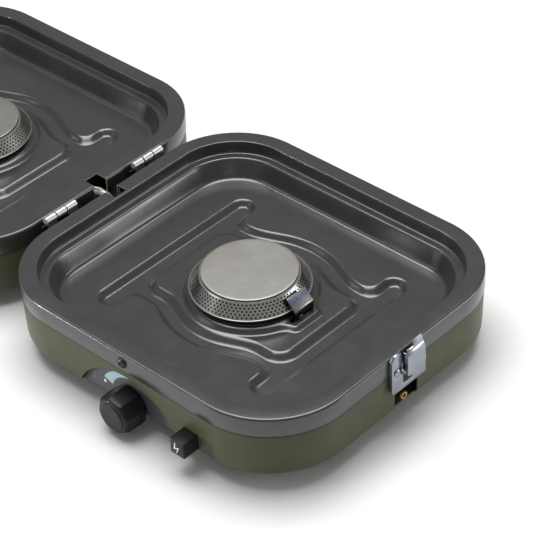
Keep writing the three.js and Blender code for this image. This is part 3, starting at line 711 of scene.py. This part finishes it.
def make_tray():
    rim = rim_outline(FLOOR_INSET)
    radius = np.hypot(rim[:, 0], rim[:, 1])
    hole = rim * (BURNER_HOLE_RADIUS / radius)[:, None]

    def floor_row(t, drop):
        p = hole + (rim - hole) * t
        return level_row(p, floor_height(p[:, 0], p[:, 1]) - drop)

    rows = [floor_row(t, 0) for t in np.linspace(0, 1, FLOOR_ROWS)]
    rows += [level_row(rim_outline(inset), height) for inset, height in tray_profile()[1:] + UNDERSIDE]
    rows += [floor_row(t, SHEET) for t in np.linspace(1, 0, UNDERSIDE_ROWS)[1:]]
    rows = np.array(rows)
    faces = grid_faces(*rows.shape[:2], wrap_rows=True)
    coating = MATERIALS["tray_coating"]
    tray = new_object("tray", rows.reshape(-1, 3), faces, coating, 50)
    slot = prism("slot", rounded_slot(ELECTRODE_X, 0, 2, 12), 20, 45, coating, "z")
    hinge_side = (INNER_EDGE - 2, INNER_EDGE + 12.5)
    notch = brick("notch", hinge_side, (-7, 7), (SKIRT_BOTTOM - 1, 60), CUT_EDGE)
    passage = brick("passage", hinge_side, (-8.4, 6.5), (SKIRT_BOTTOM - 1, 55.5), CUT_EDGE)
    carved(tray, slot, notch, passage, screw_hole(), sharp=50)
    both_halves(tray, "tray", "tray_coating")


def screw_hole():
    """A tool that cuts the tray screw's hole."""
    profile = [(SCREW_HOLE_RADIUS, FRONT + y) for y in (-2, 8)]
    return turned("hole", profile, CUT_EDGE, CENTRE_X, SCREW_Z, 24, "y")


def rounded_slot(x, y, half_width, half_length):
    reach = half_length - half_width
    return arc(x, y + reach, half_width, 0, 180, 8) + arc(x, y - reach, half_width, 180, 360, 8)


# ---- Housing, with the arch round the knob ----


def housing_profile():
    """(inset, height) outside from the flat underside up, then back down the inside."""
    toe = arc(7.2, 5.6, 5.6, -90, -180, 8)
    wall = [(1.0, 24), (0.6, 39.9), (0.7, 40.35), (1.0, 40.6), (1.5, 40.7), (1.5, 55)]
    heel = arc(7.2, 5.6, 4.6, -180, -90, 6)
    return toe + wall + [(2.5, 55), (2.5, 40.5)] + heel


def outer_wall(z):
    """The housing's outside inset at a height."""
    if z < 5.6:
        return 7.2 - math.sqrt(max(0.0, 5.6**2 - (5.6 - max(z, 0.0)) ** 2))
    return 1.6 - (z - 5.6) * (0.6 / 18.4) if z < 24 else 1.0 - (z - 24) * (0.4 / 16.2)


def make_housing():
    paint = MATERIALS["olive_paint"]
    loops = [level_row(rim_outline(inset, 20, 12, 10), height) for inset, height in housing_profile()]
    housing = skinned("housing", loops, paint, 30)
    edge = ARCH_RADIUS + 1.6
    profile = [(edge, FRONT - 4), (edge, PANEL_FRONT + PANEL_THICKNESS)]
    arch = turned("arch", profile, paint, CENTRE_X, ARCH_CENTRE_Z, 160, "y")
    half = BUTTON_SIZE / 2 + 0.4
    button = brick("button", span(BUTTON_X, half), (FRONT - 4, FRONT + 8), span(BUTTON_Z, half), paint, 0.8)
    notch = brick("notch", (0, INNER_EDGE + 5), (-8, 8), (43, 60), CUT_EDGE)
    carved(housing, arch, button, notch, screw_hole(), sharp=30)
    joined("housing", housing, arch_lip(paint))
    return both_halves(housing, "housing", "olive_paint")


def facing_front(centre_z, radius, angle, y):
    """A point on a circle about the half's middle that faces the front."""
    return (CENTRE_X + radius * math.cos(angle), y, centre_z + radius * math.sin(angle))


def arch_lip(paint):
    """The wall's edge rolled inwards round the arch."""
    start = math.degrees(math.asin(-ARCH_CENTRE_Z / ARCH_RADIUS)) + 0.2
    roll = 1.7
    depth = PANEL_FRONT - 0.8
    loops = []
    for angle in np.radians(np.linspace(start, 180 - start, 90)):
        z = ARCH_CENTRE_Z + ARCH_RADIUS * math.sin(angle)
        wall = FRONT + outer_wall(z + 1.2 * math.sin(angle))
        section = arc(roll, wall + roll, roll, -90, -180, 5)
        section += [(0, depth), (1.0, depth), (1.0, wall + 2.2), (1.9, wall + 1.05)]
        loops.append([facing_front(ARCH_CENTRE_Z, ARCH_RADIUS + r, angle, y) for r, y in section])
    return skinned("lip", loops, paint, 40)


def cut_inlet(housing):
    """The opening for the gas inlet, in the right half's outer wall."""
    outline = arc(9.5, 16, 6, 0, 90, 8) + arc(-6, 16, 6, 90, 180, 8) + [(-12, -2), (15.5, -2)]
    tool = prism("inlet", outline, OUTER_EDGE - 5, OUTER_EDGE + 3, MATERIALS["olive_paint"], "x")
    carved(housing, tool, sharp=30)


# ---- Control panel prints ----


def make_panel_prints():
    front = PANEL_FRONT - 0.05
    back = PANEL_FRONT - 0.001

    def band(name, start, end, inner, outer, material):
        loops = []
        for t in np.linspace(0, 1, 41):
            angle = math.radians(start + (end - start) * t)
            section = ((inner, back), (outer(t), back), (outer(t), front), (inner, front))
            loops.append([facing_front(KNOB_Z, r, angle, y) for r, y in section])
        return skinned(name, loops, material)

    wedge = band("wedge", 162, 97, 22.4, lambda t: 22.6 + 9.6 * (1 - t) ** 0.8, DIAL_PRINT)
    both_halves(wedge, "dial_wedge", "panel_grey")
    ends = ((178, 140), (40, 2))
    rings = [band("ring", start, end, 41.8, lambda t: 42.3, FAINT_PRINT) for start, end in ends]
    both_halves(joined("dial_ring", *rings), "dial_ring", "panel_grey")
    flame = [(0, -2.4), (1.5, -1.6), (1.9, -0.2), (1.2, 1.0), (0.9, 0.4), (0.5, 2.6), (-0.5, 1.2),
             (-0.8, 1.7), (-1.5, 0.6), (-1.9, -0.8), (-1.3, -2.0)]
    scale = 0.8
    cx, _, cz = facing_front(KNOB_Z, 30.7, math.radians(169), front)
    mark = prism("flame", [(cx + x * scale, cz + z * scale) for x, z in flame], front, back, WHITE_PRINT)
    both_halves(mark, "flame_mark", "panel_grey")


# ---- Knob, igniter button and tray screw ----


def make_knob():
    """Grip with eight ribs between shallow flats, a bevelled front edge and a smooth round face."""
    back = PANEL_FRONT - 0.7
    per_lobe = 16
    steps = 8 * per_lobe
    turn = math.radians(11)

    def loop(y, radius, flute=0.0, rib=0.0):
        points = []
        for i in range(steps):
            angle = 2 * math.pi * i / steps + turn
            across = abs((i % per_lobe) / per_lobe - 0.5) * 2
            dip = flute * (1 - across**3.2)
            crest = rib * math.exp(-(((1 - across) / 0.16) ** 2))
            points.append(facing_front(KNOB_Z, radius - dip + crest, angle, y))
        return points

    rows = [
        (0.0, 16.2, 0.4, 0.0), (0.4, 16.9, 0.6, 0.2), (1.2, 17.3, 1.0, 0.45), (6.0, 17.3, 1.3, 0.5),
        (12.0, 17.2, 1.4, 0.5), (17.5, 17.0, 1.4, 0.45), (19.3, 16.7, 1.2, 0.35), (20.5, 16.1, 0.9, 0.2),
        (21.3, 15.3, 0.55, 0.1), (21.9, 14.3, 0.25, 0.0), (22.2, 13.2), (22.3, 12.5), (22.75, 12.3),
        (23.05, 12.0), (23.2, 11.4), (23.15, 9.0), (23.05, 5.0), (23.0, 1.5),
    ]
    loops = [loop(back - y, *shape) for y, *shape in rows]
    inner = [(3.2, 0.0), (3.2, 10.0), (2.5, 10.2), (2.5, 16.5), (0.6, 17.0)]
    bore = [loop(back - y, r) for r, y in inner]
    knob = skinned("knob", bore[::-1] + loops, MATERIALS["black_plastic"], 38)
    both_halves(knob, "knob", "black_plastic", "knob")


def make_button():
    half = BUTTON_SIZE / 2
    depth = (BUTTON_FRONT, BUTTON_FRONT + 21)
    black = MATERIALS["black_plastic"]
    body = brick("button", span(BUTTON_X, half), depth, span(BUTTON_Z, half), black, 0.9, 4)
    bolt = [(-2.3, 4.8), (-1.4, 4.8), (-2.0, -0.3), (2.3, 1.3), (-0.5, -5.2), (-1.0, -5.0), (0.6, -0.6),
            (-3.5, -1.9)]
    outline = [(BUTTON_X + a, BUTTON_Z + b) for a, b in bolt]
    mark = prism("bolt", outline, BUTTON_FRONT - 0.05, BUTTON_FRONT + 0.02, WHITE_PRINT)
    both_halves(mark, "igniter_mark", "black_plastic", "igniter_button")
    both_halves(body, "igniter_button", "black_plastic", "igniter_button")


def make_screw():
    """Truss-head screw with a cross recess."""
    black = MATERIALS["black_steel"]
    seat = FRONT - 0.3
    dome = [(4.7 * math.sin(a), 2.35 * math.cos(a)) for a in np.radians(np.linspace(8, 82, 9))]
    head = [(0.01, 1.2)] + dome + [(4.75, 0.0), (1.8, 0.0), (1.8, -6.6), (0.01, -7)]
    screw = turned("screw", [(r, seat - h) for r, h in head], black, CENTRE_X, SCREW_Z, 40, "y")
    front = seat - 2.6
    arms = [brick("arm", span(CENTRE_X, w), (front, front + 1.5), span(SCREW_Z, h), black)
            for w, h in ((2.1, 0.45), (0.45, 2.1))]
    carved(screw, *arms)
    both_halves(screw, "tray_screw", "black_steel")


# ---- Burner ----

BAND_TOP_RADIUS = 41.2
BAND_TOP = 52.6
BAND_FOOT_RADIUS = 49.5
BAND_FOOT = 40.7
BAND_THICKNESS = 0.7
HOLE_ROWS = 5
HOLE_COLUMNS = 82
HOLE_RADIUS = 0.85
HOLE_SIDES = 8
HOLES_START = 0.06
HOLES_END = 0.93
# The cell round a hole, in half cells from its middle, one point for each side of the hole.
CELL = [(1, 0), (1, 1), (0, 1), (-1, 1), (-1, 0), (-1, -1), (0, -1), (1, -1)]


def about_burner(name, profile, material, steps):
    return turned(name, profile, material, CENTRE_X, BURNER_Y, steps)


def make_burner():
    make_cap()
    make_band()
    base = [
        (0.01, 4.5), (15, 4.5), (16, 5.5), (16, 30), (17, 31), (25.6, 32.4), (27.6, 33.6), (28.4, 38.2),
        (44.0, 38.3), (45.2, 38.6), (45.4, 39.3), (44.8, 39.8), (43.6, 39.8), (27, 39.6), (25.8, 34.6),
        (15, 32.5), (14, 31), (14, 7), (0.01, 7),
    ]
    both_halves(about_burner("base", base, MATERIALS["cast_aluminium"], 96), "burner_base", "cast_aluminium")
    shroud = [(48.0, 40.0), (39.8, 51.6), (39.0, 51.6), (46.8, 40.0), (48.0, 40.0)]
    # The shroud is steel, drawn near black as painted shade seen through the band's holes.
    both_halves(about_burner("shroud", shroud, SHADE_AND_RUBBER_BLACK, 96), "burner_shroud", "perforated_steel")


def make_cap():
    """Pressed disc with a soft crowned edge."""
    profile = [(0.01, 52.9), (39.0, 52.9)] + arc(39.45, 53.4, 0.5, -80, 78, 9)
    profile += [(38.6, 53.97), (37.0, 53.99), (30, 53.97), (15, 53.95), (0.01, 53.95)]
    both_halves(about_burner("cap", profile, MATERIALS["satin_steel"], 160), "burner_cap", "satin_steel")


def band_place(t):
    """Radius and height on the band's cone, from its foot at 0 to its top at 1."""
    radius = BAND_FOOT_RADIUS + (BAND_TOP_RADIUS - BAND_FOOT_RADIUS) * t
    return radius, BAND_FOOT + (BAND_TOP - BAND_FOOT) * t


def perforated_cone():
    """The band's sheet, with staggered rows of round holes cut through it."""
    columns = HOLE_COLUMNS * 2
    row_height = (HOLES_END - HOLES_START) / HOLE_ROWS
    slant = math.hypot(BAND_FOOT_RADIUS - BAND_TOP_RADIUS, BAND_TOP - BAND_FOOT)
    verts, faces, seen = [], [], {}

    def vertex(key, u, t, depth):
        if key not in seen:
            angle = 2 * math.pi * u / columns
            radius, height = band_place(t)
            r = radius - depth * BAND_THICKNESS * 0.82
            seen[key] = len(verts)
            verts.append((CENTRE_X + r * math.cos(angle), BURNER_Y + r * math.sin(angle),
                          height - depth * BAND_THICKNESS * 0.57))
        return seen[key]

    def edge_point(u, v, depth):
        return vertex(("edge", u % columns, v, depth), u, HOLES_START + v * row_height / 2, depth)

    for row in range(HOLE_ROWS):
        centre_t = HOLES_START + (row + 0.5) * row_height
        per_step = 2 * math.pi * band_place(centre_t)[0] / columns
        for cell in range(HOLE_COLUMNS):
            middle = 2 * cell + (row % 2) + 1
            circles = []
            for depth in (0, 1):
                rim = [edge_point(middle + du, 2 * row + 1 + dv, depth) for du, dv in CELL]
                circle = []
                for k in range(HOLE_SIDES):
                    a = 2 * math.pi * k / HOLE_SIDES
                    u = middle + HOLE_RADIUS * math.cos(a) / per_step
                    t = centre_t + HOLE_RADIUS * math.sin(a) / slant
                    circle.append(vertex(("hole", row, cell, k, depth), u, t, depth))
                circles.append(circle)
                for k in range(HOLE_SIDES):
                    n = (k + 1) % HOLE_SIDES
                    quad = [rim[k], rim[n], circle[n], circle[k]]
                    faces.append(quad if depth == 0 else quad[::-1])
            for k in range(HOLE_SIDES):
                n = (k + 1) % HOLE_SIDES
                faces.append([circles[0][k], circles[0][n], circles[1][n], circles[1][k]])
    for v in (0, 2 * HOLE_ROWS):
        for u in range(columns):
            corners = ((u, 0), (u + 1, 0), (u + 1, 1), (u, 1))
            faces.append([edge_point(column, v, depth) for column, depth in corners])
    return new_object("sieve", verts, faces, MATERIALS["perforated_steel"], 50)


def make_band():
    """Conical flame ring: the perforated sheet, with a rolled lip below and a hem above."""
    r, z = band_place(HOLES_START)
    lip = arc(50.1, 40.55, 0.68, -150, 80, 12)
    lip += [(r + 0.5, z - 0.25), (r + 0.15, z + 0.15), (r - 0.5, z - 0.25), (48.9, 40.1), lip[0]]
    # The lip is the band's own steel, drawn darker as painted shade.
    lower = about_burner("lip", lip, SHADED_LIP_STEEL, 160)
    r, z = band_place(HOLES_END)
    hem = [(r - 0.5, z - 0.35), (r + 0.1, z - 0.1), (41.4, 52.2), (41.1, 52.55), (40.6, 52.6), (38.2, 52.1),
           (38.2, 51.6), (40.3, 51.9), (r - 0.5, z - 0.35)]
    upper = about_burner("hem", hem, MATERIALS["perforated_steel"], 160)
    both_halves(joined("band", perforated_cone(), lower, upper), "burner_band", "perforated_steel")


def make_shield():
    """Folded cover over the spark gap: a roof that slopes away from the burner, a front and two cheeks."""
    tint = MATERIALS["heat_tinted_steel"]

    def part(name, outline, start, end, bevel):
        return prism(name, [(CENTRE_X + x, z) for x, z in outline], start, end, tint, "y", bevel)

    roof_path = [(46.5, 51.2), (49.2, 48.6), (54.7, 43.2), (55.45, 42.3), (55.7, 41.2), (55.7, 36.6)]
    roof = part("roof", sheet_outline(roof_path, 0.9), -9, 12.4, 0.22)
    cheek = [(46.7, 50.4), (51.4, 44.6), (51.4, 33.6), (55.9, 33.6), (56.0, 42.0), (54.8, 42.6)]
    cheeks = [part("cheek", cheek, y, y + 0.9, 0.2) for y in (-8.95, 11.45)]
    both_halves(joined("shield", roof, *cheeks), "igniter_shield", "heat_tinted_steel")
    rod = [(0.01, 16), (1.5, 16), (1.5, 38.4), (1.3, 38.9), (0.7, 39.2), (0.7, 42.6), (0.4, 43.0),
           (0.01, 43.0)]
    both_halves(turned("electrode", rod, MATERIALS["ceramic"], ELECTRODE_X, 0, 20), "electrode", "ceramic")


# ---- Hinges ----

HINGE_REACH = 17
KNUCKLES = 3
BARREL_RADIUS = 3.3
SEAM = 0.36


def make_hinges():
    chrome = MATERIALS["chrome_hinge"]
    pin_profile = [(0.01, -16.9), (0.9, -16.8), (1.1, -16.4), (1.1, 16.4), (0.9, 16.8), (0.01, 16.9)]
    for place in ("front", "back"):
        name = f"hinge_{place}"
        node = f"{name}_pin"
        lo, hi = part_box(node)
        centre = (lo.y + hi.y) * 500 - OFFSET[1]
        right = hinge_leaf(f"{name}_right_leaf_visual", centre, (0, 2))
        left = moved_across(hinge_leaf("leaf", centre, (1,)), f"{name}_left_leaf_visual")
        settle(right, "right_half", "chrome_hinge", f"{name}_right_leaf")
        settle(left, "left_half", "chrome_hinge", f"{name}_left_leaf")
        profile = [(r, centre + y) for r, y in pin_profile]
        pin = turned(f"{name}_pin_visual", profile, chrome, 0, FOLD_HEIGHT, 24, "y")
        settle(pin, "right_half", "chrome_hinge", node)


def hinge_leaf(name, centre, knuckles):
    """A plate on the skirt with closed barrels, each hung from a strap that slants up from the plate. The
    plate and straps are chrome, painted near black as shade.
    """
    front = centre - HINGE_REACH
    length = 2 * HINGE_REACH / KNUCKLES
    thickness = 0.95
    plate = sheet_outline([(5.2, 44), (5.2, 48), (5.2, 51.6)], thickness)
    parts = [prism("plate", plate, front, centre + HINGE_REACH, PAINTED_SHADE_STEEL, "y", 0.2)]
    strap = sheet_outline([(5.2, 51.2), (4.9, 52.6), (2.3, 56.6), (1.1, 57.5), (0.3, 57.7)], thickness)
    for n in knuckles:
        start = front + n * length + (SEAM if n else 0)
        end = front + (n + 1) * length - (SEAM if n < KNUCKLES - 1 else 0)
        parts.append(prism("strap", strap, start, end, PAINTED_SHADE_STEEL, "y", 0.12))
        near = [(1.25, start + 0.3), (1.6, start), (BARREL_RADIUS - 0.3, start), (BARREL_RADIUS, start + 0.3)]
        far = [(BARREL_RADIUS, end - 0.3), (BARREL_RADIUS - 0.3, end), (1.6, end), (1.25, end - 0.3)]
        barrel = near + far + [near[0]]
        parts.append(turned("barrel", barrel, MATERIALS["chrome_hinge"], 0, FOLD_HEIGHT, 48, "y"))
    return joined(name, *parts)


# ---- Link hose ----


def make_hose():
    """Braided gas hose that crosses from half to half under the fold line."""
    y = -3.9
    rise = [(14.5, y, 36.3), (14.3, y, 42), (11.3, y, 48.8), (5, y, 51.4)]
    points = rise + [(0, y, 52.0)] + [(-a, b, c) for a, b, c in rise[::-1]]
    path = spline(points, 150)
    side, up = frames_along(path)
    along = np.concatenate([[0], np.cumsum(np.linalg.norm(np.diff(path, axis=0), axis=1))])
    core = swept("core", path, 3.05, SHADE_AND_RUBBER_BLACK, 20)
    strands, pitch = 8, 15.0
    verts, faces, base = [], [], 0
    for direction in (1, -1):
        for k in range(strands):
            turn = 2 * math.pi * (k / strands + direction * along / pitch)
            weave = 0.12 * direction * np.cos(strands * 2 * math.pi * along / pitch)
            r = 3.22 + weave
            centre = path + r[:, None] * (np.cos(turn)[:, None] * side + np.sin(turn)[:, None] * up)
            v, f = strand_mesh(centre, path, 0.5, 0.24)
            verts.append(v)
            faces += [[i + base for i in face] for face in f]
            base += len(v)
    braid = new_object("braid", np.vstack(verts), faces, MATERIALS["braided_hose"], 60)
    hose = joined("link_hose_visual", braid, core)
    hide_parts("link_hose")
    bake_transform(hose)


def strand_mesh(centre, axis_path, half_width, half_height):
    """A flat ribbon of wires laid on the hose."""
    out = unit(centre - axis_path)
    aside = np.cross(unit(np.gradient(centre, axis=0)), out)
    corners = [(-1, -0.4), (-0.6, 1), (0.6, 1), (1, -0.4)]
    loops = [[c + half_width * across * a + half_height * up * o for across, up in corners]
             for c, a, o in zip(centre, aside, out)]
    return capped_grid(loops)


# ---- Latch, strike and gas inlet ----

PLATE_BACK = 331.3
PLATE_FRONT = 332.5
PIN_X = 334.2
PIN_Z = 44.0
HOOK_LEFT = -7.5
HOOK_RIGHT = 13.4


def make_latch():
    make_latch_base()
    make_latch_hook()
    zinc = MATERIALS["zinc_plate"]

    def fitted(piece, node):
        settle(piece, "right_half", "zinc_plate", node)

    pin_profile = [(0.01, -11.3), (1.8, -11.2), (1.9, -10.9), (1.0, -10.85), (1.0, 15.15), (1.8, 15.2),
                   (1.8, 15.5), (0.01, 15.6)]
    fitted(turned("latch_pin_visual", pin_profile, zinc, PIN_X, PIN_Z, 24, "y"), "latch_pin")
    turns, coil_radius = 7, 1.55
    coil = [(PIN_X + coil_radius * math.cos(a), -4 + 8 * a / (2 * math.pi * turns),
             PIN_Z + coil_radius * math.sin(a)) for a in np.linspace(0, 2 * math.pi * turns, turns * 20)]
    fitted(swept("latch_spring_visual", coil, 0.26, zinc, 8), "latch_spring")
    head = [(0.01, 0), (3.4, 0.0), (3.35, 0.5), (2.7, 1.1), (1.5, 1.5), (0.01, 1.6)]
    profile = [(r, PLATE_FRONT + 0.3 + h) for r, h in head]
    fitted(turned("latch_rivet_visual", profile, zinc, -14.9, 45, 32, "x"), "latch_rivet")
    path = [(0.8, 46.2), (0.8, 56.6), (1.2, 57.5), (2.5, 57.6)]
    outline = sheet_outline([(OUTER_EDGE + x, z) for x, z in path], SHEET)
    strike = moved_across(prism("strike", outline, -2, 18, zinc, "y", 0.25), "latch_strike_visual")
    settle(strike, "left_half", "zinc_plate", "latch_strike")


def make_latch_base():
    """Plate with a turned-back left edge and top edge, a window for the hook, and two ears for its pin."""
    zinc = MATERIALS["zinc_plate"]
    wall = OUTER_EDGE + 0.35
    roll = 1.5
    outer = [(-20.5, 28.3)] + arc(-16.7, 28.1, 3.8, 180, 270, 6) + arc(17.8, 26.3, 2.0, -90, 0, 6)
    inner = [(19.8, 45.3), (13.9, 45.3), (13.9, 29.4)] + arc(-4.8, 32.0, 2.6, -90, -180, 6)
    inner += [(-7.4, 38.6), (-9.6, 40.2)]
    top = [(-9.6, 61.5), (-16.5, 61.5), (-20.5, 57.5)]
    plate = prism("plate", outer + inner + top, PLATE_BACK, PLATE_FRONT, zinc, "x", 0.32)
    rolled = arc(PLATE_FRONT - roll, -19.0, roll, 0, -90, 6)
    side = [(wall, -20.5)] + rolled[::-1] + [(PLATE_BACK, -19.0), (PLATE_BACK - 0.3, -19.3), (wall, -19.3)]
    flange = prism("flange", side, 28.3, 57.6, zinc, "z", 0.2)
    crown = arc(PLATE_FRONT - roll, 60.0, roll, 0, 90, 6) + [(wall, 61.5), (wall, 60.3), (PLATE_BACK, 60.2)]
    ledge = prism("ledge", crown, -16.4, -9.7, zinc, "y", 0.2)
    slant = [(-20.3, 57.7), (-16.6, 61.4), (-15.9, 60.6), (-19.6, 56.9)]
    chamfer = prism("chamfer", slant, wall, PLATE_FRONT - 0.2, zinc, "x", 0.15)
    ear = arc(PIN_X, PIN_Z, 2.5, -90, 90, 12)
    ear += [(PLATE_BACK + 0.2, PIN_Z + 2.5), (PLATE_BACK + 0.2, PIN_Z - 2.5)]
    ears = [prism("ear", ear, y, y + 1.1, zinc, "y", 0.2) for y in (-10.75, 13.95)]
    base = joined("latch_base_visual", plate, flange, ledge, chamfer, *ears)
    settle(base, "right_half", "zinc_plate", "latch_base")


def make_latch_hook():
    """Rocking hook: a flat face with a bent-over tab, and two cheeks that carry the pin."""
    zinc = MATERIALS["zinc_plate"]
    face_path = [(336.95, 31.6), (336.95, 44), (336.95, 56.2), (336.7, 57.4), (335.0, 60.8)]
    face = prism("face", sheet_outline(face_path, 1.05), HOOK_LEFT, HOOK_RIGHT, zinc, "y")
    below = [(-11, 30), (-11, 40.2), (HOOK_LEFT, 39.4), (-1.5, 36.9), (3.4, 34.7), (8.5, 32.6),
             (14.5, 31.3), (14.5, 30)]
    face = bevelled(carved(face, prism("below", below, 334, 340, zinc, "x")), 0.3)
    tab_path = [(335.2, 60.3), (333.6, 64.0), (332.9, 65.5), (332.65, 66.3)]
    tab = prism("tab", sheet_outline(tab_path, 0.95), 2.4, HOOK_RIGHT, zinc, "y", 0.25)
    ramp = [(335.5, 60.2), (335.0, 61.3), (334.4, 62.4), (334.0, 62.4), (334.6, 60.1)]
    shoulder = prism("shoulder", ramp, -5.4, 2.6, zinc, "y", 0.15)
    left_cheek = [(334.6, 39.9), (336.5, 39.4), (337, 39.7), (337, 57), (335, 60.4), (332.4, 60.4),
                  (332.2, 47), (332.2, 42.5)]
    right_cheek = [(334.6, 34), (337, 32.5), (337, 56), (333.4, 55), (332.2, 47), (332.2, 41.5)]
    cheeks = []
    for cheek, y in ((left_cheek, HOOK_LEFT), (right_cheek, HOOK_RIGHT - 1.2)):
        hole = turned("hole", [(1.3, y - 1), (1.3, y + 2.2)], zinc, PIN_X, PIN_Z, 24, "y")
        cheeks.append(carved(prism("cheek", cheek, y, y + 1.2, zinc, "y", 0.3), hole))
    hook = joined("latch_hook_visual", face, tab, shoulder, *cheeks)
    settle(hook, "latch_hook", "zinc_plate", "latch_hook")


def make_inlet():
    barb = [(0.01, 0), (5, 0), (5, 8.6), (4.6, 9), (3.6, 9), (3.6, 15.3), (4.5, 15.9), (4.6, 16.3),
            (3.75, 19.6), (4.5, 20.2), (4.6, 20.6), (3.8, 24), (3.5, 27.3), (3.2, 27.75), (2.1, 27.75),
            (1.85, 27.4), (1.8, 18), (0.01, 18)]
    profile = [(r, 299.8 + h) for r, h in barb]
    nipple = turned("inlet_nipple_visual", profile, MATERIALS["brass"], 0, 9, 40, "x")
    settle(nipple, "right_half", "brass", "inlet_nipple")


# ---- Feet ----


def make_feet():
    low = -FOOT_HEIGHT
    profile = [(0.01, low), (5.2, low), (5.6, low + 0.4), (6.4, low + 0.4), (6.8, low), (7.4, low)]
    profile += arc(7.4, low + 1, 1.0, -90, -10, 6) + [(9.3, -4), (9.6, -3)]
    profile += arc(8.9, -1.0, 0.7, 0, 90, 5) + [(0.01, -0.3)]
    for row, y in (("front", -100), ("back", 100)):
        for column, x in (("inner", CENTRE_X - 116), ("outer", CENTRE_X + 116)):
            foot = turned("foot", profile, MATERIALS["foot_rubber"], x, y, 48)
            both_halves(foot, f"foot_{row}_{column}", "foot_rubber")


# ---- CAD nodes that are shown as they are ----


def finish_cad_nodes():
    slots = {s["node"]: s["material_slot"] for s in frame["record"]["subparts"]}
    for name, obj in frame["nodes"].items():
        obj.data.materials.clear()
        obj.data.materials.append(MATERIALS[slots[name]])


# ---- Stage, lights and camera ----


def make_stage():
    m = Nodes("floor", (0.74, 0.74, 0.74), 0.6)
    m.color(m.ramp(m.noise(400, 2), [(0.3, (0.73, 0.73, 0.73)), (0.7, (0.75, 0.75, 0.75))]))
    mesh = bpy.data.meshes.new("floor")
    size = 6.0
    corners = [(-size, -size, 0), (size, -size, 0), (size, size, 0), (-size, size, 0)]
    mesh.from_pydata(corners, [], [(0, 1, 2, 3)])
    mesh.materials.append(m.material)
    floor = placed("floor", mesh)


def softbox(name, place, target, width, height, power):
    light = bpy.data.lights.new(name, "AREA")
    light.shape = "RECTANGLE"
    light.size, light.size_y = width, height
    light.energy = power
    obj = placed(name, light)
    obj.location = place
    obj.rotation_mode = "QUATERNION"
    obj.rotation_quaternion = (Vector(target) - Vector(place)).to_track_quat("-Z", "Y")


def make_lights():
    world = bpy.data.worlds.new("studio")
    bpy.context.scene.world = world
    world.use_nodes = True
    background = world.node_tree.nodes["Background"]
    background.inputs["Color"].default_value = (1, 1, 1, 1)
    background.inputs["Strength"].default_value = 0.3
    centre = (0.1, 0.0, 0.05)
    softbox("overhead", (-0.15, 0.2, 1.9), centre, 1.8, 1.35, 54)
    softbox("key", (-1.0, -1.4, 1.0), centre, 0.8, 0.6, 2)
    softbox("low_front", (-1.0, -1.3, 0.08), (0.15, -0.1, 0.05), 0.14, 0.1, 13)
    softbox("side", (1.5, 1.2, 0.36), (0.0, 0.05, 0.05), 0.8, 0.4, 8)


def make_camera():
    """The photograph's viewpoint: in front of the right half's outer corner, looking down."""
    azimuth, elevation, roll = math.radians(44.1), math.radians(38.69), math.radians(-2.76)
    distance = 1781.5
    target = np.array([149.0, 52.0, 0.0])
    level = math.cos(elevation)
    back = np.array([math.sin(azimuth) * level, -math.cos(azimuth) * level, math.sin(elevation)])
    right = np.cross(-back, [0, 0, 1])
    right /= np.linalg.norm(right)
    up = np.cross(right, -back)
    turned_right = right * math.cos(roll) + up * math.sin(roll)
    turned_up = up * math.cos(roll) - right * math.sin(roll)
    eye = metres(target + back * distance)
    data = bpy.data.cameras.new("camera")
    data.sensor_width = 36.0
    lens_per_width = 3.804
    data.lens = data.sensor_width * lens_per_width
    data.clip_start, data.clip_end = 0.05, 50.0
    camera = placed("camera", data)
    axes = np.column_stack([turned_right, turned_up, back])
    camera.matrix_world = Matrix.Translation(Vector(eye)) @ Matrix(axes.tolist()).to_4x4()
    bpy.context.scene.camera = camera


bpy.context.scene.view_settings.view_transform = "Standard"
make_camera()
make_lights()
make_stage()
finish_cad_nodes()
make_tray()
cut_inlet(make_housing())
make_panel_prints()
make_knob()
make_button()
make_screw()
make_burner()
make_shield()
make_hinges()
make_hose()
make_latch()
make_inlet()
make_feet()
